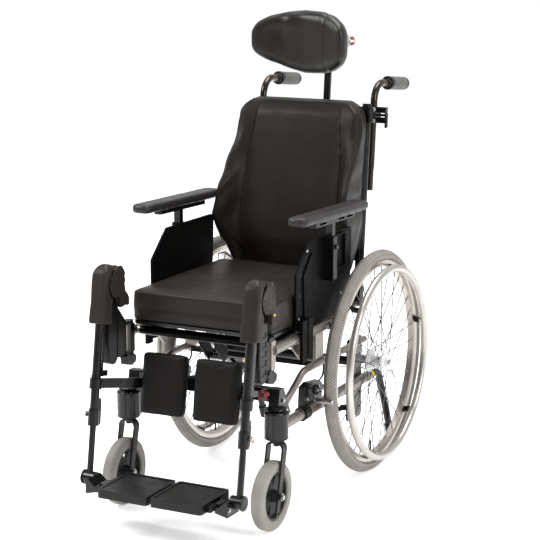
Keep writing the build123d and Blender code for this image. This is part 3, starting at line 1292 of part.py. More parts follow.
with BuildPart() as left_foot_tube:
    with BuildSketch(leg_plane.offset(foot_tube_low)):
        Circle(foot_tube_r)
    extrude(amount=foot_tube_top - foot_tube_low)
    # knuckle at the foot, with its end cap
    hub_x0 = leg_x - 20
    with BuildSketch(side(hub_x0)):
        with Locations((foot_hub_y, foot_hub_z)):
            Circle(foot_hub_r - 2)
    extrude(amount=30)
    with BuildSketch(side(hub_x0 + 30)):
        with Locations((foot_hub_y, foot_hub_z)):
            Circle(foot_hub_r)
    extrude(amount=5)
    # bracket from the knuckle to the footplate's hinge
    with BuildSketch(Plane(origin=(0, foot_hub_y - 36, 0), x_dir=(1, 0, 0), z_dir=(0, -1, 0))):
        with BuildLine():
            Polyline((flip_x + flip_r + 1.5, flip_z - 9), (hub_x0 + 8, flip_z - 17),
                     (hub_x0 + 8, foot_hub_z + 8), (hub_x0, foot_hub_z + 8),
                     (flip_x + flip_r + 10, flip_z + 4), (flip_x + flip_r + 1.5, flip_z + 3), close=True)
        make_face()
    extrude(amount=-58)
    # middle knuckle of the hinge
    knuckle_y0 = foot_hub_y - 19
    knuckle_len = 34.0
    with BuildSketch(Plane(origin=(flip_x, knuckle_y0, flip_z), x_dir=(1, 0, 0), z_dir=(0, -1, 0))):
        Circle(flip_r)
        with Locations((7, 0)):
            Rectangle(14, 2 * flip_r)
        Circle(flip_pin_r + run_clear, mode=Mode.SUBTRACT)
    extrude(amount=-knuckle_len)
left_foot_tube.part.label = "left_foot_tube"

with BuildPart() as left_footplate:
    with BuildSketch(Plane.XY.offset(foot_plate_top - foot_plate_t)):
        with Locations(((plate_gap + foot_plate_x1) / 2, (foot_plate_y0 + foot_plate_y1) / 2)):
            RectangleRounded(foot_plate_x1 - plate_gap, foot_plate_y1 - foot_plate_y0, 9)
    extrude(amount=foot_plate_t)
    # shallow tread inside a raised border, and the hollow underside
    with BuildSketch(Plane.XY.offset(foot_plate_top - 1.5)):
        with Locations(((plate_gap + foot_plate_x1) / 2, (foot_plate_y0 + foot_plate_y1) / 2)):
            RectangleRounded(foot_plate_x1 - plate_gap - 14, foot_plate_y1 - foot_plate_y0 - 14, 5)
    extrude(amount=2, mode=Mode.SUBTRACT)
    with BuildSketch(Plane.XY.offset(foot_plate_top - foot_plate_t)):
        with Locations(((plate_gap + foot_plate_x1) / 2, (foot_plate_y0 + foot_plate_y1) / 2)):
            RectangleRounded(foot_plate_x1 - plate_gap - 10, foot_plate_y1 - foot_plate_y0 - 10, 5)
    extrude(amount=foot_plate_t - 6, mode=Mode.SUBTRACT)
    # outer knuckles of the hinge, and its pin
    for knuckle_start in (knuckle_y0 - side_clear - 24, knuckle_y0 + knuckle_len + side_clear):
        with BuildSketch(Plane(origin=(flip_x, knuckle_start, flip_z), x_dir=(1, 0, 0), z_dir=(0, -1, 0))):
            Circle(flip_r)
            with Locations((-7.5, 0)):
                Rectangle(15, 2 * flip_r)
        extrude(amount=-24)
    with BuildSketch(Plane(origin=(flip_x, knuckle_y0 - 20, flip_z), x_dir=(1, 0, 0), z_dir=(0, -1, 0))):
        Circle(flip_pin_r)
    extrude(amount=-(knuckle_len + 40))
left_footplate.part.label = "left_footplate"

with BuildPart() as left_calf_bar:
    with BuildSketch(leg_plane.offset(calf_low)):
        Circle(calf_clamp_r)
        with BuildLine():
            bar_n = calf_pad_n + calf_pad_t + 0.3
            x_turn = calf_pad_x1 + 10 - leg_x
            x_end = calf_pad_x0 + 16 - leg_x
            Polyline(
                (-4, 12), (x_turn - calf_bar_t, bar_n), (x_end, bar_n), (x_end, bar_n + calf_bar_t),
                (x_turn - calf_bar_t / 2, bar_n + calf_bar_t), (4, 12), close=True)
        make_face()
        Circle(leg_tube_r + run_clear, mode=Mode.SUBTRACT)
    extrude(amount=calf_bar_h)
left_calf_bar.part.label = "left_calf_bar"

with BuildPart() as left_calf_pad:
    pad_x = (calf_pad_x0 + calf_pad_x1) / 2 - leg_x
    pad_n = calf_pad_n + calf_pad_t / 2
    for rise, inset, corner in ((0, 4, 9), (0.06, 0, 11), (0.5, -0.8, 12), (0.94, 0, 11), (1, 4, 9)):
        with BuildSketch(leg_plane.offset(calf_pad_low + rise * calf_pad_h)):
            with Locations((pad_x, pad_n - inset / 2)):
                RectangleRounded(calf_pad_x1 - calf_pad_x0 - 2 * inset, calf_pad_t - abs(inset), corner)
    loft(ruled=True)
left_calf_pad.part.label = "left_calf_pad"

# ---- gas springs ---------------------------------------------------------------------------
tilt_len = sqrt((tilt_b_y - tilt_a_y) ** 2 + (tilt_b_z - tilt_a_z) ** 2)
tilt_barrel = 114.0
tilt_neck = 32.0
with BuildPart() as tilt_cylinder:
    with BuildSketch(spring_side(-lug_half_gap + side_clear, tilt_a_y, tilt_a_z, tilt_b_y, tilt_b_z)):
        Circle(spring_eye_r)
        with Locations((tilt_neck / 2, 0)):
            Rectangle(tilt_neck + 2, 10)
        Circle(spring_pin_r + run_clear, mode=Mode.SUBTRACT)
    extrude(amount=2 * (lug_half_gap - side_clear))
    tilt_along = Vector(0, tilt_b_y - tilt_a_y, tilt_b_z - tilt_a_z).normalized()
    tilt_start = Vector(0, tilt_a_y, tilt_a_z)
    with BuildSketch(Plane(origin=tilt_start + tilt_along * tilt_neck, z_dir=tilt_along)):
        Circle(spring_r)
    extrude(amount=tilt_barrel)
    with BuildSketch(Plane(origin=tilt_start + tilt_along * (tilt_neck + 10), z_dir=tilt_along)):
        Circle(spring_rod_r + run_clear)
    extrude(amount=tilt_barrel, mode=Mode.SUBTRACT)
tilt_cylinder.part.label = "tilt_cylinder"

with BuildPart() as tilt_rod:
    with BuildSketch(Plane(origin=tilt_start + tilt_along * 70, z_dir=tilt_along)):
        Circle(spring_rod_r)
    extrude(amount=tilt_len - 70 - 6)
    eye_half = lug_half_gap + 14 - side_clear
    with BuildSketch(spring_side(-eye_half, tilt_a_y, tilt_a_z, tilt_b_y, tilt_b_z)):
        with Locations((tilt_len, 0)):
            Circle(spring_eye_r)
            Circle(spring_pin_r + open_clear, mode=Mode.SUBTRACT)
    extrude(amount=2 * eye_half)
tilt_rod.part.label = "tilt_rod"

recline_d = back_side(0).from_local_coords((recline_d_v, recline_d_u, 0))
recline_c = Vector(0, recline_c_y, recline_c_z)
recline_len = (recline_d - recline_c).length
recline_barrel = 105.0
recline_neck = 20.0
with BuildPart() as recline_cylinder:
    with BuildSketch(spring_side(-lug_half_gap + side_clear, recline_c_y, recline_c_z,
                                 recline_d.Y, recline_d.Z)):
        Circle(spring_eye_r)
        with Locations((recline_neck / 2, 0)):
            Rectangle(recline_neck + 2, 10)
        Circle(spring_pin_r + run_clear, mode=Mode.SUBTRACT)
    extrude(amount=2 * (lug_half_gap - side_clear))
    recline_along = (recline_d - recline_c).normalized()
    with BuildSketch(Plane(origin=recline_c + recline_along * recline_neck, z_dir=recline_along)):
        Circle(spring_r - 2)
    extrude(amount=recline_barrel)
    with BuildSketch(Plane(origin=recline_c + recline_along * (recline_neck + 10), z_dir=recline_along)):
        Circle(spring_rod_r + run_clear)
    extrude(amount=recline_barrel, mode=Mode.SUBTRACT)
recline_cylinder.part.label = "recline_cylinder"

with BuildPart() as recline_rod:
    with BuildSketch(Plane(origin=recline_c + recline_along * 60, z_dir=recline_along)):
        Circle(spring_rod_r)
    extrude(amount=recline_len - 60 - 7)
    with BuildSketch(spring_side(-lug_half_gap + side_clear, recline_c_y, recline_c_z,
                                 recline_d.Y, recline_d.Z)):
        with Locations((recline_len, 0)):
            Circle(spring_eye_r)
            Circle(spring_pin_r + recline_open_clear, mode=Mode.SUBTRACT)
    extrude(amount=2 * (lug_half_gap - side_clear))
recline_rod.part.label = "recline_rod"

# ---- the right side mirrors the left -------------------------------------------------------
left_pieces = (left_tyre, left_rim, left_spokes, left_handrim, left_caster_wheel, left_caster_fork,
               left_brake_shoe, left_anti_tip, left_handle, left_grip, left_arm_post, left_arm_pad,
               left_hanger, left_gaiter, left_leg_tube, left_sleeve, left_foot_tube, left_footplate,
               left_calf_bar, left_calf_pad)
middle_pieces = (lower_rails, upper_tubes, axle_carrier, front_carrier, brake_bodies,
                 seat_frame, seat_pan, seat_cushion, back_frame, back_shell, back_cushion,
                 handle_clamps, head_post, head_pad, head_shell, side_panels, tilt_cylinder,
                 tilt_rod, recline_cylinder, recline_rod)
print(f"brake cable: tube radius {cable_r} mm, bend radius {cable_bend_r} mm")
for piece in left_pieces:
    with BuildPart() as right_piece:
        mirror(piece.part, about=Plane.YZ)
    right_piece.part.label = piece.part.label.replace("left", "right")
    export_step(piece.part, f"parts/{piece.part.label}.step")
    export_step(right_piece.part, f"parts/{right_piece.part.label}.step")
for piece in middle_pieces:
    export_step(piece.part, f"parts/{piece.part.label}.step")
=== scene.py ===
"""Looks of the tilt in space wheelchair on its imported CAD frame. Metres, +Z up, the chair faces -Y."""
import math

import bmesh
import bpy
import numpy as np
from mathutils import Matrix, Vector


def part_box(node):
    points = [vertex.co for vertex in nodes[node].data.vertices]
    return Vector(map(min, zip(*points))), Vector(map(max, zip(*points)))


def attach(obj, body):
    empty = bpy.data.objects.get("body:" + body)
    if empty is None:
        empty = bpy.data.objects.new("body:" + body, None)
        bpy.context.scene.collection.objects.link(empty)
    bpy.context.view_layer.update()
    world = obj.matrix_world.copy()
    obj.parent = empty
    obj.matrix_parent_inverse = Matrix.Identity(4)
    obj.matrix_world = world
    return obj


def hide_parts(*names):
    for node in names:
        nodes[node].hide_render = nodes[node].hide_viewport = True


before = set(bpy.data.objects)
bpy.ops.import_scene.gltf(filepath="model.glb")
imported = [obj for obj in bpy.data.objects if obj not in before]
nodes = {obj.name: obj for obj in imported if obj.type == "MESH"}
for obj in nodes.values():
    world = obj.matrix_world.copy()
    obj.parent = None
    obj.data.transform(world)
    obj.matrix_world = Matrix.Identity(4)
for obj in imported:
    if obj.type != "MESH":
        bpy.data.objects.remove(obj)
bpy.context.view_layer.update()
scene = bpy.context.scene
scene.view_settings.view_transform = "Standard"

# ---- places on the frame -------------------------------------------------------------------


def wheel_centre(node):
    """Place along Y and height of the axis of a wheel that stands on the floor."""
    lo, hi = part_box(node)
    return (lo.y + hi.y) / 2, hi.z / 2


SIDES = (("left", 1), ("right", -1))
AY, WR = wheel_centre("left_tyre")                    # rear axle
CY, CR = wheel_centre("left_caster_wheel")            # front axle
WHEEL_X = 0.242                                       # middle of a rear wheel
STEM_X, STEM_Y = 0.213, AY - 0.534                    # stem of a caster
BRAKE_Y, BRAKE_Z = AY - 0.318, 0.299                  # pivot of a brake
TILT_Y, TILT_Z = AY - 0.250, 0.4525                   # axis of the tilt
LEAN = math.radians(5.5)                              # lean of the back's canes
CANE_Y, CANE_Z = AY + 0.0485, 0.4525                  # foot of the canes
LEG = math.radians(9)                                 # slope of a leg rest
LEG_X, LEG_Y, LEG_Z = 0.2115, AY - 0.7054, 0.2492     # lower end of its outer tube
KNEE_Y, KNEE_Z = AY - 0.612, 0.592                    # where a knee cover's folds meet


def to_back(v):
    """Points as (x, back, up) in the canes' frame."""
    y, z = v[:, 1] - CANE_Y, v[:, 2] - CANE_Z
    return np.c_[v[:, 0], y * math.cos(LEAN) - z * math.sin(LEAN), y * math.sin(LEAN) + z * math.cos(LEAN)]


def from_back(x, back, up):
    """Point of the canes' frame in the scene's."""
    return Vector((x, CANE_Y + back * math.cos(LEAN) + up * math.sin(LEAN),
                   CANE_Z - back * math.sin(LEAN) + up * math.cos(LEAN)))


def from_leg(m, dx, back, up):
    """Point in a leg rest's frame: sideways from its tube, backwards and up along it."""
    return Vector((m * (LEG_X + dx), LEG_Y + back * math.cos(LEG) + up * math.sin(LEG),
                   LEG_Z - back * math.sin(LEG) + up * math.cos(LEG)))


# ---- materials -----------------------------------------------------------------------------


def rgb(r, g, b):
    """sRGB 0-255 to linear."""
    return tuple((c / 255 / 12.92) if c <= 10 else ((c / 255 + 0.055) / 1.055) ** 2.4 for c in (r, g, b))


def shade(color, share):
    """A share of a colour, no channel over 1."""
    return tuple(min(1, c * share) for c in color)


class Nodes:
    """Small helper round a material's node tree."""

    def __init__(self, name, color, rough, metal=0.0, spec=0.5):
        self.mat = bpy.data.materials.new(name)
        self.mat.use_nodes = True
        self.tree = self.mat.node_tree
        self.bsdf = self.tree.nodes["Principled BSDF"]
        self.color = color
        self.normal = None
        for socket, value in (("Base Color", (*color, 1)), ("Roughness", rough), ("Metallic", metal),
                              ("Specular IOR Level", spec)):
            self.bsdf.inputs[socket].default_value = value
        self.coord = self.add("ShaderNodeTexCoord").outputs["Object"]

    def add(self, kind, **values):
        n = self.tree.nodes.new(kind)
        for k, v in values.items():
            setattr(n, k, v)
        return n

    def link(self, a, b):
        self.tree.links.new(a, b)

    def noise(self, scale, detail):
        n = self.add("ShaderNodeTexNoise")
        n.inputs["Scale"].default_value = scale
        n.inputs["Detail"].default_value = detail
        self.link(self.coord, n.inputs["Vector"])
        return n.outputs["Fac"]

    def voronoi(self, scale):
        n = self.add("ShaderNodeTexVoronoi")
        n.inputs["Scale"].default_value = scale
        self.link(self.coord, n.inputs["Vector"])
        return n.outputs["Distance"]

    def math(self, op, a, b=None):
        n = self.add("ShaderNodeMath", operation=op)
        for i, x in enumerate((a, b)):
            if isinstance(x, (int, float)):
                n.inputs[i].default_value = x
            elif x is not None:
                self.link(x, n.inputs[i])
        return n.outputs[0]

    def xyz(self):
        n = self.add("ShaderNodeSeparateXYZ")
        self.link(self.coord, n.inputs[0])
        return n.outputs

    def ramp(self, fac, lo, hi, v0, v1):
        """v0 where fac is lo, v1 where it is hi."""
        n = self.add("ShaderNodeMapRange")
        for socket, value in (("From Min", lo), ("From Max", hi), ("To Min", v0), ("To Max", v1)):
            n.inputs[socket].default_value = value
        self.link(fac, n.inputs["Value"])
        return n.outputs["Result"]

    def patches(self, scale, detail, lo=0, hi=1):
        """Noise spread over the range from lo to hi."""
        return self.ramp(self.noise(scale, detail), 0.3, 0.7, lo, hi)

    def mix(self, fac, a, b):
        """Colour a where fac is 0, b where it is 1."""
        n = self.add("ShaderNodeMix", data_type="RGBA")
        for i, x in ((6, a), (7, b)):
            if isinstance(x, tuple):
                n.inputs[i].default_value = (*x, 1)
            else:
                self.link(x, n.inputs[i])
        self.link(fac, n.inputs[0])
        return n.outputs[2]

    def paint(self, out):
        self.link(out, self.bsdf.inputs["Base Color"])

    def vary(self, fac, dark, light):
        """Colour varies between shares dark and light of the base colour."""
        self.paint(self.mix(fac, shade(self.color, dark), shade(self.color, light)))

    def bump(self, height, dist, strength):
        """Adds relief of that depth on top of the relief so far."""
        n = self.add("ShaderNodeBump")
        n.inputs["Distance"].default_value = dist
        n.inputs["Strength"].default_value = strength
        self.link(height, n.inputs["Height"])
        if self.normal is not None:
            self.link(self.normal, n.inputs["Normal"])
        self.normal = n.outputs["Normal"]
        self.link(self.normal, self.bsdf.inputs["Normal"])

    def roughen(self, scale, detail, lo, hi):
        self.link(self.patches(scale, detail, lo, hi), self.bsdf.inputs["Roughness"])


def m_vinyl(name, color, rough, grain=1.0, spec=0.14):
    """Upholstery: pebbled grain, small creases and slow waves."""
    m = Nodes(name, color, rough, spec=spec)
    m.bump(m.voronoi(900), 0.00025 * grain, 0.5)
    m.bump(m.noise(140, 4), 0.0006 * grain, 0.35)
    m.bump(m.noise(14, 3), 0.004 * grain, 0.25)
    m.vary(m.patches(6, 3), 0.82, 1.2)
    m.roughen(25, 3, rough - 0.05, rough + 0.08)
    return m.mat


def m_powder(name, color, rough, metal=0.0, spec=0.2):
    """Powder coat with a faint orange peel."""
    m = Nodes(name, color, rough, metal=metal, spec=spec)
    m.bump(m.noise(1400, 2), 0.00012, 0.15)
    m.vary(m.patches(18, 4), 0.8, 1.2)
    m.roughen(60, 4, rough - 0.06, rough + 0.08)
    return m.mat


def m_plastic(name, color, rough, spec=0.16):
    """Moulded plastic with a fine spark texture."""
    m = Nodes(name, color, rough, spec=spec)
    m.bump(m.voronoi(1600), 0.00012, 0.4)
    m.vary(m.patches(11, 4), 0.85, 1.18)
    m.roughen(45, 4, rough - 0.07, rough + 0.07)
    return m.mat


def m_metal(name, color, rough):
    """Bare metal, slightly uneven."""
    m = Nodes(name, color, rough, metal=1.0)
    m.bump(m.noise(420, 3), 0.00015, 0.25)
    m.vary(m.patches(20, 3), 0.9, 1.08)
    m.roughen(70, 4, rough - 0.06, rough + 0.08)
    return m.mat


def wheel_polar(m, y, z):
    """X, and the radius and angle round an X axis at y, z."""
    x, yy, zz = m.xyz()
    dy = m.math("SUBTRACT", yy, y)
    dz = m.math("SUBTRACT", zz, z)
    r = m.math("SQRT", m.math("ADD", m.math("MULTIPLY", dy, dy), m.math("MULTIPLY", dz, dz)))
    return x, r, m.math("ARCTAN2", dz, dy)


def m_tread(name, color):
    """Grey tyre with a tread of small sunk diamonds across its crown, their pits darkened with painted shade, and fine
    rings on its walls.
    """
    tyre_r, pitch, ring_pitch = 0.3045, 0.0115 / 0.75, 0.0028
    wall_r, wall_end, crown_start, crown_r = 0.2825, 0.2845, 0.2835, 0.286
    m = Nodes(name, color, 0.62, spec=0.35)
    x, r, turn = wheel_polar(m, AY, WR)
    across = m.math("SUBTRACT", m.math("ABSOLUTE", x), WHEEL_X)
    along = m.math("MULTIPLY", turn, tyre_r)
    a, b = (m.math("SINE", m.math("MULTIPLY", m.math(op, along, across), 2 * math.pi / pitch))
            for op in ("ADD", "SUBTRACT"))
    lines = m.math("MAXIMUM", m.math("ABSOLUTE", a), m.math("ABSOLUTE", b))
    pits = m.ramp(lines, 0.58, 0.76, 1, 0)
    tread = m.math("MULTIPLY", pits, m.ramp(r, crown_start, crown_r, 0, 1))
    rings = m.math("MULTIPLY", m.math("SINE", m.math("MULTIPLY", r, 2 * math.pi / ring_pitch)),
                   m.ramp(r, wall_r, wall_end, 1, 0))
    m.bump(tread, 0.0022, 1.0)
    m.bump(rings, 0.0003, 0.5)
    m.bump(m.noise(500, 3), 0.0003, 0.4)
    dirt = m.ramp(m.noise(30, 4), 0.35, 0.7, 0, 1)
    base = m.mix(dirt, shade(color, 0.86), shade(color, 1.1))
    # painted shade: the pits of the tread are darkened towards a fifth of the grey, as shade in the recesses
    m.paint(m.mix(m.math("MULTIPLY", tread, 0.8), base, shade(color, 0.2)))
    return m.mat


def m_two(name, in_color, out_color, y, z, radius, r_in=0.5, r_out=0.6, metal=0.0):
    """Two colours and roughnesses, inside and outside a radius round an X axis at y, z; metal is the outer one's. On
    the spokes the inner colour is the hub's own; on the caster wheels it is painted shade on their faces.
    """
    m = Nodes(name, out_color, r_out, spec=0.35)
    outside = m.math("GREATER_THAN", wheel_polar(m, y, z)[1], radius)
    n = m.patches(30, 4)
    inner = m.mix(n, shade(in_color, 0.85), shade(in_color, 1.2))
    outer = m.mix(n, shade(out_color, 0.92), shade(out_color, 1.06))
    m.paint(m.mix(outside, inner, outer))
    m.link(m.ramp(outside, 0, 1, r_in, r_out), m.bsdf.inputs["Roughness"])
    if metal:
        m.link(m.ramp(outside, 0, 1, 0, metal), m.bsdf.inputs["Metallic"])
    m.bump(m.noise(600, 3), 0.0002, 0.4)
    return m.mat


def m_grip(name):
    """Grey rubber with a pebbled skin."""
    m = Nodes(name, rgb(88, 87, 85), 0.55, spec=0.3)
    m.bump(m.voronoi(520), 0.0004, 0.6)
    m.vary(m.patches(90, 4), 0.75, 1.2)
    return m.mat


def m_split(name, near, far, at, metal):
    """Colour near up to that distance from the chair's middle plane, and paint of colour far outside it."""
    edge = 0.0005
    m = Nodes(name, far, 0.32, metal=metal, spec=0.3)
    outside = m.ramp(m.math("ABSOLUTE", m.xyz()[0]), at - edge, at + edge, 0, 1)
    n = m.patches(18, 4)
    inner = m.mix(n, shade(near, 0.85), shade(near, 1.2))
    paint = m.mix(n, shade(far, 0.92), shade(far, 1.08))
    m.paint(m.mix(outside, inner, paint))
    m.bump(m.noise(1400, 2), 0.00012, 0.35)
    return m.mat


SOOT, CHAMPAGNE = rgb(12, 11, 10), rgb(140, 134, 129)
VINYL = m_vinyl("vinyl_black", rgb(28, 25, 22), rough=0.42, spec=0.13)
VINYL_SEAT = m_vinyl("vinyl_seat", rgb(36, 33, 30), rough=0.36)
VINYL_HEAD = m_vinyl("vinyl_head", rgb(26, 24, 21), rough=0.34, spec=0.26)
VINYL_CALF = m_vinyl("vinyl_calf", rgb(17, 15, 13), rough=0.5)
VINYL_KNEE = m_vinyl("vinyl_knee", rgb(38, 34, 31), rough=0.42)
SEAM = m_vinyl("piping_black", rgb(14, 13, 12), rough=0.5, grain=0.4)
PU = m_plastic("polyurethane_black", rgb(33, 31, 30), rough=0.4, spec=0.28)
BLACK = m_powder("powder_black", rgb(11, 10, 9), rough=0.24, spec=0.32)
PLASTIC = m_plastic("plastic_black", rgb(14, 13, 12), rough=0.36, spec=0.22)
PANEL = m_plastic("panel_black", rgb(9, 8, 7), rough=0.5, spec=0.05)
TAUPE = m_powder("paint_taupe", CHAMPAGNE, rough=0.3, metal=0.8, spec=0.4)
SEAT_PAINT = m_split("paint_seat_frame", SOOT, CHAMPAGNE, 0.192, 0.8)
TUBE_PAINT = m_split("paint_upper_tubes", SOOT, CHAMPAGNE, 0.184, 0.8)
AXLE_PAINT = m_split("paint_axle_carrier", rgb(24, 23, 22), rgb(190, 190, 188), 0.1892, 0.5)
HANDLE = m_powder("tube_dark", rgb(62, 57, 53), rough=0.2, metal=0.85)
FORK = m_powder("paint_grey_black", rgb(42, 39, 36), rough=0.36, metal=0.3)
STEEL = m_metal("steel_zinc", rgb(178, 178, 176), 0.24)
SPOKE = m_two("steel_spoke", rgb(196, 197, 196), rgb(84, 84, 83), AY, WR, 0.034, 0.3, 0.4, metal=0.6)
ALLOY = m_metal("alloy_rim", rgb(186, 180, 173), 0.36)
TREAD = m_tread("tyre_grey", rgb(136, 131, 126))
GRIP = m_grip("grip_grey")
MAROON = m_plastic("knob_maroon", rgb(128, 62, 64), rough=0.4)
YELLOW = m_plastic("ring_yellow", rgb(200, 190, 40), rough=0.5)
BRASS = m_metal("brass", rgb(190, 150, 80), 0.3)
PALE = m_plastic("plate_pale", rgb(205, 203, 198), rough=0.5)
BAND = m_powder("band_grey", rgb(34, 33, 31), rough=0.4)
# painted shade: the caster wheels' faces inside the radius are near-black, the grey tyre is outside it
CASTER = m_two("caster_wheel", rgb(16, 15, 14), rgb(128, 125, 120), CY, CR, 0.0605)
HANDRIM = m_split("handrim", rgb(16, 15, 14), rgb(178, 174, 169), 0.2745, 0.85)

# ---- geometry helpers ----------------------------------------------------------------------


def new_object(name, data):
    o = bpy.data.objects.new(name, data)
    scene.collection.objects.link(o)
    return o


def carry(o, body):
    """Rides a piece on its body; a part of a joined piece has no body yet."""
    if body:
        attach(o, body)
    return o


def axes(axis):
    """Unit vector along an axis, and two across it."""
    a = Vector(axis).normalized()
    u = a.orthogonal().normalized()
    return a, u, a.cross(u)


def around(u, v, turn):
    return u * math.cos(turn) + v * math.sin(turn)


def edit(me, work):
    """Runs work on a BMesh of the mesh."""
    bm = bmesh.new()
    bm.from_mesh(me)
    work(bm)
    bm.to_mesh(me)
    bm.free()


def weld(bm):
    """Merges doubled points."""
    bmesh.ops.remove_doubles(bm, verts=bm.verts, dist=1e-6)


def weld_outwards(bm):
    """Merges doubled points and turns the faces outwards."""
    weld(bm)
    bmesh.ops.recalc_face_normals(bm, faces=bm.faces)


def sharpen(me, degrees=32):
    """Smooth shading with sharp edges over an angle."""
    limit = math.radians(degrees)

    def work(bm):
        for f in bm.faces:
            f.smooth = True
        for e in bm.edges:
            e.smooth = len(e.link_faces) == 2 and e.calc_face_angle(0) < limit

    edit(me, work)


def add_mesh(name, verts, faces, material, degrees=32):
    """Closed, welded mesh object with its sharp edges marked."""
    me = bpy.data.meshes.new(name)
    me.from_pydata([tuple(v) for v in verts], [], faces)
    me.validate()
    me.update()
    me.materials.append(material)
    edit(me, weld_outwards)
    sharpen(me, degrees)
    return new_object(name, me)


def lathe(name, profile, centre, axis, material, body, count, close=True):
    """Turns a profile of (along, radius) round an axis through centre."""
    a, u, v = axes(axis)
    n, c = len(profile), Vector(centre)
    verts, faces = [], []
    for i in range(count):
        d = around(u, v, 2 * math.pi * i / count)
        verts += [c + a * p[0] + d * p[1] for p in profile]
    for i in range(count):
        j = (i + 1) % count
        for k in range(n if close else n - 1):
            l = (k + 1) % n
            faces.append((i * n + k, j * n + k, j * n + l, i * n + l))
    return carry(add_mesh(name, verts, faces, material), body)


def rod(name, p, q, r, material, body, count=20):
    """Round bar from p to q with chamfered ends."""
    p, q = Vector(p), Vector(q)
    h = (q - p).length
    c = min(r * 0.25, h * 0.2)
    prof = [(0, 0), (0, r - c), (c, r), (h - c, r), (h, r - c), (h, 0)]
    return lathe(name, prof, p, q - p, material, body, count, close=False)


def tube(name, pts, r, material, body):
    """Tube along a smooth curve through points."""
    cu = bpy.data.curves.new(name, "CURVE")
    cu.dimensions = "3D"
    cu.bevel_depth = r
    cu.bevel_resolution = 4
    cu.resolution_u = 10
    cu.use_fill_caps = True
    sp = cu.splines.new("BEZIER")
    sp.bezier_points.add(len(pts) - 1)
    for b, p in zip(sp.bezier_points, pts):
        b.co = p
        b.handle_left_type = b.handle_right_type = "AUTO"
    cu.materials.append(material)
    return carry(new_object(name, cu), body)


def block(name, a, b, material, body, bevel):
    """Bevelled box between two opposite corners."""
    bm = bmesh.new()
    bmesh.ops.create_cube(bm, size=1)
    lo, hi = Vector(map(min, a, b)), Vector(map(max, a, b))
    for v in bm.verts:
        v.co = Vector([(lo[i] + hi[i]) / 2 + v.co[i] * (hi[i] - lo[i]) for i in range(3)])
    bmesh.ops.bevel(bm, geom=bm.edges[:], offset=min(bevel, min(hi - lo) * 0.4), segments=2, affect="EDGES")
    me = bpy.data.meshes.new(name)
    bm.to_mesh(me)
    bm.free()
    me.materials.append(material)
    sharpen(me, 40)
    return carry(new_object(name, me), body)


def hex_bolt(name, at, way, r, h, body):
    """Zinc hexagon head over a washer, facing +X or -X."""
    a, u, v = axes((way, 0, 0))
    base, washer = Vector(at), h * 0.25
    o = lathe(name, [(0, 0), (0, r * 1.35), (washer, r * 1.35), (washer, r * 1.1)], at, a, STEEL, None, 24,
              close=False)

    def work(bm):
        rings = [[bm.verts.new(base + a * z + around(u, v, i * math.pi / 3) * r * k) for i in range(6)]
                 for z, k in ((washer, 1), (h * 0.85, 1), (h, 0.8))]
        for lower, upper in zip(rings, rings[1:]):
            for i in range(6):
                j = (i + 1) % 6
                bm.faces.new((lower[i], lower[j], upper[j], upper[i]))
        bm.faces.new(rings[-1])

    edit(o.data, work)
    sharpen(o.data, 25)
    return carry(o, body)


def star_knob(name, at, axis, r, t, body):
    """Red knob with five lobes, a rounded rim and a sunk middle."""
    a, u, v = axes(axis)
    c, count = Vector(at), 60
    rings = ((0, 0.9), (0.12, 1.0), (0.75, 1.0), (0.93, 0.95), (1.0, 0.84), (1.0, 0.45), (0.86, 0.38), (0.86, 0))
    verts, faces = [], []
    for h, k in rings:
        for i in range(count):
            ang = 2 * math.pi * i / count
            lobe = 1 - 0.15 * (1 - math.cos(5 * ang)) / 2 * (1 if k > 0.5 else 0)
            verts.append(c + a * (h * t) + around(u, v, ang) * (r * k * lobe))
    for j in range(len(rings) - 1):
        for i in range(count):
            k = (i + 1) % count
            faces.append((j * count + i, j * count + k, (j + 1) * count + k, (j + 1) * count + i))
    faces.append(tuple(range(count))[::-1])
    return carry(add_mesh(name, verts, faces, MAROON, 40), body)


def joined(name, parts, body):
    """Joins parts of one material into one piece."""
    material = parts[0].data.materials[0]
    bm = bmesh.new()
    for o in parts:
        bm.from_mesh(o.data)
        me = o.data
        bpy.data.objects.remove(o)
        bpy.data.meshes.remove(me)
    me = bpy.data.meshes.new(name)
    bm.to_mesh(me)
    bm.free()
    me.materials.append(material)
    return carry(new_object(name, me), body)


# ---- soft goods ----------------------------------------------------------------------------


def coords(o):
    a = np.empty(len(o.data.vertices) * 3)
    o.data.vertices.foreach_get("co", a)
    return a.reshape(-1, 3)


def set_coords(o, a):
    o.data.vertices.foreach_set("co", a.astype(np.float32).ravel())
    o.data.update()


def normals(o):
    a = np.empty(len(o.data.vertices) * 3, np.float32)
    o.data.vertex_normals.foreach_get("vector", a)
    return a.reshape(-1, 3).astype(float)


def displace(o, amount):
    """Moves each point along its normal."""
    set_coords(o, coords(o) + normals(o) * amount[:, None])


def apply_modifiers(o):
    me = bpy.data.meshes.new_from_object(o.evaluated_get(bpy.context.evaluated_depsgraph_get()))
    o.modifiers.clear()
    o.data = me


def smooth_steps(o, times, factor=0.5):
    m = o.modifiers.new("smooth", "SMOOTH")
    m.factor = factor
    m.iterations = times
    apply_modifiers(o)


def soft_copy(node, name, voxel, smooth, shrink=0.0):
    """Closed, even mesh with a CAD solid's form, as the start of a padded piece."""
    o = new_object(name, nodes[node].data.copy())
    o.data.materials.clear()
    edit(o.data, weld)
    r = o.modifiers.new("remesh", "REMESH")
    r.mode = "VOXEL"
    r.voxel_size = voxel
    apply_modifiers(o)
    if shrink:
        set_coords(o, coords(o) - normals(o) * shrink)
    smooth_steps(o, smooth)
    return o


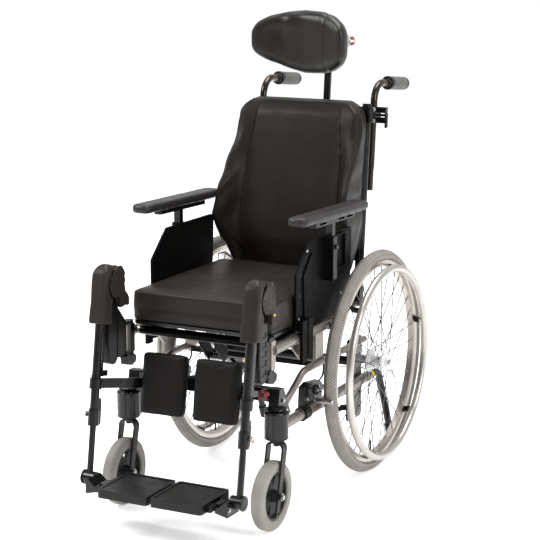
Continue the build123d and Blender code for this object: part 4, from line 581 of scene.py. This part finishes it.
def inflate(o, cap, hold=None):
    """Cloth with air in it, stepped and applied, each point moving no further than cap."""
    start = coords(o)
    c = o.modifiers.new("cloth", "CLOTH")
    s = c.settings
    s.use_pressure = True
    s.uniform_pressure_force = 4
    s.effector_weights.gravity = 0
    s.tension_stiffness = s.compression_stiffness = 15
    s.bending_stiffness = 0.6
    s.quality = 5
    c.collision_settings.use_collision = False
    c.collision_settings.use_self_collision = False
    if hold is not None:
        g = o.vertex_groups.new(name="hold")
        for i in np.nonzero(hold(start))[0]:
            g.add([int(i)], 1.0, "REPLACE")
        s.vertex_group_mass = "hold"
    for f in range(1, 21):
        scene.frame_set(f)
    end = coords(o.evaluated_get(bpy.context.evaluated_depsgraph_get()))
    scene.frame_set(1)
    o.modifiers.clear()
    move = end - start
    far = np.linalg.norm(move, axis=1, keepdims=True)
    set_coords(o, start + move * np.minimum(1, cap / np.maximum(far, 1e-9)))


def finish_soft(o, material, body, node):
    """Rounds a soft piece once more, gives it its material, rides it on its body and hides the CAD solid it stands
    for.
    """
    o.data.materials.clear()
    o.data.materials.append(material)
    m = o.modifiers.new("subdivision", "SUBSURF")
    m.levels = m.render_levels = 1
    apply_modifiers(o)
    o.data.polygons.foreach_set("use_smooth", [True] * len(o.data.polygons))
    carry(o, body)
    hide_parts(node)


def seg_dist(p, a, b):
    """Distance of points p from the segment a-b, and how far along it they are."""
    ab = b - a
    t = np.clip(((p - a) @ ab) / max(ab @ ab, 1e-12), 0, 1)
    return np.linalg.norm(p - a - t[:, None] * ab, axis=1), t


def hump(x, mid, width, power=2):
    """Bell curve round mid."""
    return np.exp(-((x - mid) / width) ** power)


def step(x, start, width):
    """0 before start, rising to 1 over width."""
    return np.clip((x - start) / width, 0, 1)


def waves(v, seed, size):
    """Smooth seeded noise between -1 and 1 at points v, with features of that size."""
    g = np.random.default_rng(seed)
    out = np.zeros(len(v))
    for _ in range(10):
        k = g.normal(size=3)
        k *= 2 * math.pi / size / max(np.linalg.norm(k), 1e-6) * g.uniform(0.6, 1.5)
        out += np.sin(v @ k + g.uniform(0, 6.28))
    return out / 5


# seat cushion: flat below, slightly uneven on top
b0, b1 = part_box("seat_cushion")
seat = soft_copy("seat_cushion", "seat_cushion_cover", 0.006, 1, shrink=0.001)
inflate(seat, 0.0015, hold=lambda v: v[:, 2] < b0.z + 0.008)
v, n = coords(seat), normals(seat)
inner = np.minimum.reduce([v[:, 0] - b0.x, b1.x - v[:, 0], v[:, 1] - b0.y, b1.y - v[:, 1]])
top = (n[:, 2] > 0.6) * step(inner, 0, 0.05)
set_coords(seat, v + np.c_[np.zeros((len(v), 2)), 0.0018 * top * waves(v, 3, 0.22)]
           + n * (0.0006 * waves(v, 5, 0.09) * (n[:, 2] < 0.6))[:, None])
finish_soft(seat, VINYL_SEAT, "seat", "seat_cushion")

# back cushion, worked on in the canes' frame: q is (x, back, up)
LOW_UP, HEIGHT = 0.102, 0.451       # its foot and its height up the canes


def seam_x(up):
    """Half the distance between the two long seams at a height."""
    return 0.150 * np.interp((up - LOW_UP) / HEIGHT, [0, 0.3, 0.65, 1], [0.90, 0.97, 0.93, 0.80])


back = soft_copy("back_cushion", "back_cushion_cover", 0.006, 6, shrink=0.002)
inflate(back, 0.006, hold=lambda v: to_back(v)[:, 1] > -0.026)
q = to_back(coords(back))
# upper corners rounded, less on the -X side
half_top = 0.166
bend = np.where(q[:, 0] < 0, 0.6, 1.0) * 0.045
over = step(q[:, 2], q[:, 2].max() - bend, bend)
x_end = half_top - bend + bend * np.sqrt(np.clip(1 - over ** 2, 0, 1))
keep = np.where(over > 0, x_end / half_top, 1.0)
side = step(np.abs(q[:, 0]), 0.09, 0.07)
q[:, 0] *= 1 - side * (1 - keep)
# wings fuller, their edges forward, the foot drawn down to the seat
full = np.interp(q[:, 2], [0.10, 0.14, 0.20, 0.26, 0.29, 0.42, 0.56], [0.002, 0.007, 0.008, 0.005, 0.0, 0.002, 0.010])
q[:, 0] += np.sign(q[:, 0]) * full * side
tip = step(-q[:, 1], 0.07, 0.06) * side
q[:, 1] -= 0.010 * tip * np.interp(q[:, 2], [0.11, 0.20, 0.30, 0.40], [0, 1, 1, 0])
q[:, 2] -= 0.018 * step(-q[:, 2], -0.140, 0.03)
v = np.array([from_back(*p) for p in q])
set_coords(back, v)
# middle edges and top softened
soft = new_object("soft", back.data.copy())
smooth_steps(soft, 60, 0.6)
blend = np.maximum(hump(np.abs(q[:, 0]), 0.150, 0.028, 4), step(q[:, 2], 0.49, 0.03) * 0.8)
blend = blend * step(-q[:, 1], 0.03, 0.03) * step(q[:, 2], 0.115, 0.03)
v = v + (coords(soft) - v) * blend[:, None]
bpy.data.objects.remove(soft)
set_coords(back, v)
# grooves of the long seams
n = normals(back)
front = step(-q[:, 1], 0.03, 0.02)
push = -0.0016 * hump(np.abs(np.abs(q[:, 0]) - seam_x(q[:, 2])), 0, 0.0022) * front
# short creases out of the seams: side, height, direction, depth, length
for k, up, way, depth, length in ((-1, 0.405, 0.55, 0.0016, 0.07), (-1, 0.395, 1.0, 0.0014, 0.06),
                                  (-1, 0.125, 0.9, 0.0018, 0.07), (-1, 0.120, 0.35, 0.0016, 0.06),
                                  (1, 0.400, 0.9, 0.0012, 0.05), (1, 0.125, 0.8, 0.0014, 0.06)):
    root = np.array([k * np.interp(up, [0.1, 0.24, 0.4], [0.137, 0.146, 0.141]), up])
    end = root + length * np.array([k * math.cos(way), math.sin(way) * (-1 if up > 0.3 else 1)])
    r, t = seg_dist(q[:, [0, 2]], root, end)
    push = push - depth * hump(r, 0, 0.0035) * (1 - t) * front + depth * 0.7 * hump(r, 0.007, 0.004) * (1 - t) * front
# long soft folds across the wings
wing = step(np.abs(q[:, 0]), 0.148, 0.02) * front
slant = q[:, 2] + 1.5 * (np.abs(q[:, 0]) - 0.15)
fold = np.sin(slant * 2 * math.pi / 0.085 + 0.7 * np.sin(q[:, 2] * 21))
push = push + 0.0016 * fold * wing * hump(q[:, 2], 0.30, 0.13)
push = push + 0.0012 * waves(q * (1, 1, 0.5), 17, 0.24) * front
v = v + n * push[:, None]
set_coords(back, v)
# stitched lines that lie in the grooves
q = to_back(v)
for s, k in SIDES:
    line = []
    for up in np.linspace(0.112, 0.530, 26):
        x = k * seam_x(up)
        near = np.exp(-(((q[:, 0] - x) ** 2 + (q[:, 2] - up) ** 2) / 0.006 ** 2)) * (n[:, 1] < -0.2)
        line.append(from_back(x, (q[:, 1] @ near) / max(near.sum(), 1e-9) - 0.0004, up))
    tube("back_seam_" + s, line, 0.0009, SEAM, "back")
finish_soft(back, VINYL, "back", "back_cushion")

# headrest: tapered towards -X, with one sewn seam, a dent and a ridge
h0, h1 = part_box("head_pad")
head = soft_copy("head_pad", "headrest_cover", 0.005, 10, shrink=0.001)
inflate(head, 0.0015)
v = coords(head)
mid_z = (h0.z + h1.z) / 2
places = [-0.136, -0.115, -0.077, -0.038, 0, 0.06, 0.136]
low = np.interp(v[:, 0], places, [0.037, 0.031, 0.023, 0.011, 0.003, 0.0, 0.006])
high = np.interp(v[:, 0], places, [0.022, 0.012, 0.006, 0.002, 0.0, 0.0, 0.010])
k = (v[:, 2] - h0.z) / (h1.z - h0.z)
v[:, 2] += low * (1 - k) - high * k
v[:, 0] *= 1.045
v[:, 2] = mid_z + (v[:, 2] - mid_z) * 1.06
set_coords(head, v)
smooth_steps(head, 8)
v, n = coords(head), normals(head)
seam = np.array([(h1.x * 0.60, h0.z), (h1.x * 0.52, mid_z - 0.02), (h1.x * 0.50, mid_z + 0.02), (h1.x * 0.56, h1.z)])
d = np.minimum.reduce([seg_dist(v[:, [0, 2]], p, e)[0] for p, e in zip(seam, seam[1:])])
width = 0.0022
groove = (hump(d, 0, width) + 0.35 * hump(d, 0, 3.2 * width)) * (n[:, 1] < 0.3)
set_coords(head, v - n * (0.0016 * groove)[:, None])
v = coords(head)
dent = 0.0065 * np.exp(-(((v[:, 0] + 0.075) / 0.030) ** 2 + ((v[:, 2] - 1.185) / 0.035) ** 2))
ridge = 0.0038 * np.exp(-(((v[:, 0] + 0.040) / 0.018) ** 2 + ((v[:, 2] - 1.205) / 0.030) ** 2))
front = np.clip(-normals(head)[:, 1], 0, 1)
displace(head, (ridge - dent) * front + 0.0008 * waves(v, 23, 0.12))
finish_soft(head, VINYL_HEAD, "headrest", "head_pad")

for s, m in SIDES:
    # calf pads
    pad = soft_copy(s + "_calf_pad", s + "_calf_cover", 0.004, 2, shrink=0.0005)
    inflate(pad, 0.0012)
    displace(pad, 0.0009 * waves(coords(pad), 31, 0.09))
    finish_soft(pad, VINYL_CALF, s + "_calf_rest", s + "_calf_pad")
    # arm pads
    arm = soft_copy(s + "_arm_pad", s + "_arm_cover", 0.004, 10)
    finish_soft(arm, PU, s + "_armrest", s + "_arm_pad")
    # knee covers: drawn into folds that fan out from the inside of the knee
    knee = soft_copy(s + "_gaiter", s + "_knee_cover", 0.0022, 5)
    v = coords(knee)
    ang = np.arctan2(v[:, 2] - KNEE_Z, v[:, 1] - KNEE_Y)
    r = np.hypot(v[:, 2] - KNEE_Z, v[:, 1] - KNEE_Y)
    swell = 0.013 * hump(ang, 1.15, 0.6) * step(r, 0.012, 0.02)
    v[:, 1] += swell * np.cos(ang)
    v[:, 2] += swell * np.sin(ang)
    cheek = step(np.abs(np.abs(v[:, 0]) - LEG_X), 0.012, 0.006)
    v[:, 0] += np.sign(v[:, 0] - m * LEG_X) * 0.002 * cheek
    set_coords(knee, v)
    turn = ang * 6.5 + 0.5 * np.sin(v[:, 0] * 130 + 1) + 0.35 * waves(v, 43, 0.03)
    fold = -hump(np.sin(turn), 0, 0.34) + 0.35 * np.abs(np.sin(turn))
    displace(knee, 0.0024 * fold * step(r, 0.018, 0.016) + 0.0006 * waves(v, 37, 0.02))
    finish_soft(knee, VINYL_KNEE, s + "_hanger", s + "_gaiter")
    # sleeves: domed over their top 34 mm, with a few soft dents
    sleeve = soft_copy(s + "_sleeve", s + "_sleeve_cover", 0.0028, 8)
    v = coords(sleeve)
    dome = 0.034
    up = (v[:, 1] - LEG_Y) * math.sin(LEG) + (v[:, 2] - LEG_Z) * math.cos(LEG)
    k = np.sqrt(np.clip(1 - 0.80 * step(up, up.max() - dome, dome) ** 2, 0, 1))
    tube_y = LEG_Y + (v[:, 2] - LEG_Z) * math.tan(LEG)
    v[:, 0] = m * LEG_X + (v[:, 0] - m * LEG_X) * k
    v[:, 1] = np.where(v[:, 1] < tube_y, tube_y + (v[:, 1] - tube_y) * k, v[:, 1])
    set_coords(sleeve, v)
    smooth_steps(sleeve, 3)
    displace(sleeve, 0.0009 * waves(coords(sleeve), 41, 0.06))
    finish_soft(sleeve, VINYL_KNEE, s + "_leg", s + "_sleeve")

# ---- carried-over CAD pieces ---------------------------------------------------------------
LOOK = {"lower_rails": TAUPE, "upper_tubes": TUBE_PAINT, "axle_carrier": AXLE_PAINT, "front_carrier": BLACK,
        "brake_bodies": BLACK, "seat_frame": SEAT_PAINT, "seat_pan": BLACK, "side_panels": PANEL,
        "tilt_cylinder": BLACK, "tilt_rod": STEEL, "back_frame": BLACK, "back_shell": PLASTIC,
        "handle_clamps": BLACK, "recline_cylinder": BLACK, "recline_rod": STEEL, "head_post": BLACK,
        "head_shell": PALE}
SIDE_LOOK = {"tyre": TREAD, "rim": ALLOY, "spokes": SPOKE, "handrim": HANDRIM, "caster_fork": FORK,
             "caster_wheel": CASTER, "brake_shoe": STEEL, "anti_tip": BLACK, "handle": HANDLE, "grip": GRIP,
             "arm_post": BLACK, "hanger": PLASTIC, "leg_tube": BLACK, "foot_tube": BLACK,
             "footplate": PLASTIC, "calf_bar": BLACK}
for s, m in SIDES:
    LOOK.update({s + "_" + name: look for name, look in SIDE_LOOK.items()})
for name, look in LOOK.items():
    me = nodes[name].data
    me.materials.clear()
    me.materials.append(look)
    sharpen(me, 34)

# ---- details -------------------------------------------------------------------------------
# knobs of the chassis and the headrest
star_knob("front_knob", (0.178, AY - 0.5292, 0.335), (0, -1, 0), 0.0156, 0.0153, "chassis")
for s, k in SIDES:
    out = Vector((k * 0.5, 1, 0)).normalized()
    at = Vector((k * 0.134 * 0.86, AY + 0.064, 1.161)) + out * 0.0126
    rod("headrest_stud_" + s, at - out * 0.0140, at + out * 0.0010, 0.0045, STEEL, "headrest")
    star_knob("headrest_knob_" + s, at, out, 0.0156, 0.0128, "headrest")

HOLE_R, NIPPLE_R = 0.026, 0.258      # radius of the hub's holes and of the spokes' outer ends
CROSSING = 0.0013                    # half the distance at which spokes of one flange pass each other
for s, m in SIDES:
    out = Vector((m, 0, 0))
    # rear wheel: axle button, spokes with their heads and nipples, valve
    w = s + "_rear_wheel"
    rod(s + "_axle_button", (m * 0.2835, AY, WR), (m * 0.2905, AY, WR), 0.0062, STEEL, w)
    nipples, wires = [], []
    for flange, phase in ((0.273, 0), (0.229, 10)):
        for k in range(18):
            way = 1 if k % 2 == 0 else -1
            hole = math.radians(phase + 20 * k)
            end = hole + way * math.radians(60)
            p = Vector((m * (flange + way * CROSSING), AY + HOLE_R * math.cos(hole), WR + HOLE_R * math.sin(hole)))
            q = Vector((m * (WHEEL_X + way * CROSSING), AY + NIPPLE_R * math.cos(end), WR + NIPPLE_R * math.sin(end)))
            d = (q - p).normalized()
            lift = Vector((m * 0.0014 * way, 0, 0))
            wires.append(rod("wire", p, q, 0.0013, SPOKE, None, count=8))
            nipples.append(rod("nipple", q - d * 0.014, q + d * 0.001, 0.0019, STEEL, None, count=8))
            nipples.append(rod("head", p - d * 0.003 + lift, p + d * 0.004 + lift, 0.0015, STEEL, None, count=8))
    joined(s + "_spoke_nipples", nipples, w)
    joined(s + "_spoke_wires", wires, w)
    hub = Vector((m * WHEEL_X, AY, WR))
    d = Vector((0, math.cos(math.radians(-95)), math.sin(math.radians(-95))))
    rod(s + "_valve", hub + d * 0.222, hub + d * 0.2585, 0.0026, BLACK, w, count=14)
    lathe(s + "_anti_tip_ring", [(0, 0.0138), (0.0115, 0.0138), (0.0115, 0.0128), (0, 0.0128)],
          (m * 0.203, AY + 0.0507, 0.246), (0, 1, 0), YELLOW, s + "_anti_tip", 32)
    # caster: bolts of its axle, cover and rings of its housing
    hex_bolt(s + "_caster_nut", (m * 0.2422, CY, CR), m, 0.0068, 0.0062, s + "_caster_fork")
    hex_bolt(s + "_caster_head", (m * 0.1838, CY, CR), -m, 0.0068, 0.005, s + "_caster_fork")
    lathe(s + "_caster_cover", [(0, 0), (0, 0.024), (0.002, 0.0255), (0.004, 0.0245), (0.0045, 0)],
          (m * STEM_X, STEM_Y, 0.3015), (0, 0, 1), BLACK, "chassis", 40, close=False)
    ring_r, ring_in = 0.0304, 0.0304 - 0.002
    for z in (0.2295, 0.292):
        lathe(s + "_housing_ring_%d" % (z * 1000), [(0, ring_in), (0, ring_r), (0.0016, ring_r), (0.0016, ring_in)],
              (m * STEM_X, STEM_Y, z), (0, 0, 1), PLASTIC, "chassis", 48)
    # bolts of the front casting
    for i, (x, y, z) in enumerate(((0.2172, -0.508, 0.258), (0.2172, -0.492, 0.288), (0.2172, -0.506, 0.318))):
        hex_bolt(s + "_casting_bolt_%d" % i, (m * x, AY + y, z), m, 0.0052, 0.0045, "chassis")
    # brake: drum with its bolt, and the bolts of its plate
    lathe(s + "_brake_drum", [(0, 0), (0, 0.012), (0.002, 0.0135), (0.008, 0.0135), (0.010, 0.012), (0.010, 0)],
          (m * 0.2125, BRAKE_Y, BRAKE_Z), out, PLASTIC, s + "_brake", 40, close=False)
    hex_bolt(s + "_brake_bolt", (m * 0.2222, BRAKE_Y, BRAKE_Z), m, 0.005, 0.004, s + "_brake")
    for i, (y, z) in enumerate(((-0.345, 0.279), (-0.278, 0.296), (-0.262, 0.276))):
        hex_bolt(s + "_brake_plate_bolt_%d" % i, (m * 0.2058, AY + y, z), m, 0.0042, 0.003, "chassis")
    hex_bolt(s + "_tilt_bolt", (m * 0.2203, TILT_Y, TILT_Z), m, 0.0075, 0.005, "seat")
    # side panel: screws, and the armrest socket's cover with its screw
    screw = [(0, 0), (0, 0.0042), (0.0012, 0.0036), (0.0012, 0.0016), (0.0004, 0.0014), (0.0004, 0)]
    for i, (y, z) in enumerate(((-0.405, 0.500), (-0.404, 0.560), (-0.398, 0.612), (-0.360, 0.668), (-0.12, 0.676),
                                (-0.118, 0.60), (-0.155, 0.520))):
        lathe(s + "_panel_screw_%d" % i, screw, (m * 0.211, AY + y, z), out, STEEL if i % 3 == 0 else PLASTIC,
              "seat", 24, close=False)
    block(s + "_post_cover", (m * 0.2365, AY - 0.2615, 0.577), (m * 0.2378, AY - 0.2385, 0.6885), BAND, "seat", 0.0006)
    lathe(s + "_post_screw", [(0, 0), (0, 0.0065), (0.006, 0.0065), (0.0075, 0.005), (0.0075, 0)],
          (m * 0.2376, AY - 0.250, 0.662), out, BLACK, "seat", 32, close=False)
    # push handle: bolts of its clamp, collar, ribbed grip and grip end
    for i, up in enumerate((0.4975, 0.5265)):
        hex_bolt(s + "_clamp_bolt_%d" % i, from_back(m * 0.1885, 0.0, up), m, 0.0046, 0.004, "back")
    handle = s + "_push_handle"
    along = Vector((0, math.cos(LEAN), -math.sin(LEAN)))
    start = from_back(m * 0.170, 0.1277, 0.600)
    lathe(s + "_grip_collar", [(-0.0006, 0.0125), (-0.0006, 0.0170), (0.0015, 0.0192), (0.0120, 0.0192),
                               (0.0140, 0.0172), (0.0140, 0.0150)], start, along, PLASTIC, handle, 48)
    lathe(s + "_grip_body", [(0.0135, 0.0160), (0.0140, 0.0174), (0.0165, 0.0178), (0.1050, 0.0178),
                             (0.1080, 0.0174), (0.1085, 0.0160)], start, along, GRIP, handle, 64)
    lathe(s + "_grip_end", [(0.1080, 0.0150), (0.1080, 0.0180), (0.1165, 0.0181), (0.1206, 0.0165),
                            (0.1224, 0.0120), (0.1224, 0.0)], start, along, PLASTIC, handle, 48, close=False)
    ribs = []
    for k in range(20):
        u = around(Vector((1, 0, 0)), Vector((0, math.sin(LEAN), math.cos(LEAN))), 2 * math.pi * k / 20) * 0.0176
        ribs.append(rod("rib", start + along * 0.018 + u, start + along * 0.104 + u, 0.0008, GRIP, None, count=8))
    joined(s + "_grip_ribs", ribs, handle)
    # leg rest: rings and bolt of the tube, ridges of the rack, brass fittings
    leg = s + "_leg"
    up_leg = from_leg(m, 0, 0, 1) - from_leg(m, 0, 0, 0)
    for i, up in enumerate((0.0385, 0.1175, 0.1225)):
        lathe(s + "_leg_ring_%d" % i, [(0, 0.0108), (0, 0.0126), (0.0035, 0.0126), (0.0035, 0.0108)],
              from_leg(m, 0, 0, up), up_leg, PLASTIC, leg, 32)
    ridges = []
    for k in range(11):
        up = 0.130 + 0.011 * k
        ridges.append(rod("ridge", from_leg(m, -0.0082, 0.0172, up), from_leg(m, 0.0082, 0.0172, up), 0.0016, BLACK,
                          None, count=8))
    joined(s + "_rack_ridges", ridges, leg)
    hex_bolt(s + "_leg_clamp_bolt", from_leg(m, 0.0200, 0, 0.026), m, 0.0055, 0.004, leg)
    rod(s + "_brass_pin", from_leg(m, 0.010, 0.030, 0.012), from_leg(m, 0.010, 0.030, 0.022), 0.0035, BRASS, leg)
    lathe(s + "_knee_rivet", [(0, 0), (0, 0.0042), (0.0012, 0.0048), (0.0022, 0.0036), (0.0026, 0)],
          (m * 0.2315, AY - 0.582, 0.552), out, BRASS, s + "_hanger", 20, close=False)
    # foot: cap over the plate's pivot and the bolt of its bracket
    lathe(s + "_foot_cap", [(0, 0), (0, 0.0165), (0.0015, 0.0185), (0.005, 0.0186), (0.0062, 0.0165), (0.0062, 0.006),
                            (0.0046, 0.0050), (0.0046, 0)],
          (m * 0.2205, AY - 0.728, 0.1206), out, PLASTIC, s + "_foot", 48, close=False)
    hex_bolt(s + "_bracket_bolt", (m * 0.1990, AY - 0.755, 0.108), m, 0.0045, 0.0035, s + "_foot")

# ---- stage ---------------------------------------------------------------------------------
bpy.ops.mesh.primitive_plane_add(size=120, location=(0, 0, -0.0005))
floor = bpy.context.object
floor.name = "floor"
white = bpy.data.materials.new("floor_white")
white.use_nodes = True
for socket, value in (("Base Color", (0.9, 0.9, 0.9, 1)), ("Roughness", 0.7), ("Specular IOR Level", 0.1),
                      ("Emission Color", (1, 1, 1, 1)), ("Emission Strength", 0.46)):
    white.node_tree.nodes["Principled BSDF"].inputs[socket].default_value = value
floor.data.materials.append(white)

# white surroundings, brighter behind the chair than in front of it
world = scene.world or bpy.data.worlds.new("studio")
scene.world = world
world.use_nodes = True
tree = world.node_tree
sky = tree.nodes.get("Background") or tree.nodes.new("ShaderNodeBackground")
sky.inputs["Color"].default_value = (1, 1, 1, 1)
place = tree.nodes.new("ShaderNodeTexCoord")
split = tree.nodes.new("ShaderNodeSeparateXYZ")
fall = tree.nodes.new("ShaderNodeMapRange")
for socket, value in (("From Min", -0.9), ("From Max", 0.5), ("To Min", 0.22), ("To Max", 0.85)):
    fall.inputs[socket].default_value = value
tree.links.new(place.outputs["Generated"], split.inputs[0])
tree.links.new(split.outputs["Y"], fall.inputs["Value"])
tree.links.new(fall.outputs["Result"], sky.inputs["Strength"])


def area(name, at, target, size, power):
    """Soft box that faces target."""
    light = bpy.data.lights.new(name, "AREA")
    light.shape = "RECTANGLE"
    light.size, light.size_y = size
    light.energy = power
    o = new_object(name, light)
    o.location = at
    o.rotation_euler = (Vector(target) - Vector(at)).to_track_quat("-Z", "Y").to_euler()


area("key", (-2.6, -2.2, 3.4), (0, 0, 0.6), (1.6, 1.6), 170)
area("fill", (3.6, -1.2, 2.4), (0, 0, 0.6), (0.9, 2.2), 90)
area("top", (0.2, 0.8, 4.2), (0, 0, 0.5), (2.4, 2.4), 180)

FOCAL_PX, IMAGE_PX, SENSOR = 1693.3657, 540, 36       # fitted focal length, image width, mm
AZIMUTH, ELEVATION = 0.471771, 0.203008               # fitted direction to the camera, radians
cam = bpy.data.cameras.new("photo")
cam.lens = FOCAL_PX / IMAGE_PX * SENSOR
cam.sensor_width = SENSOR
cam.clip_start, cam.clip_end = 0.1, 300
camera = new_object("photo", cam)
backward = Vector((math.sin(AZIMUTH) * math.cos(ELEVATION), -math.cos(AZIMUTH) * math.cos(ELEVATION),
                   math.sin(ELEVATION)))
camera.location = (2.02044, -4.11127 + AY, 1.47646)
camera.rotation_mode = "QUATERNION"
camera.rotation_quaternion = (-backward).to_track_quat("-Z", "Y")
scene.camera = camera
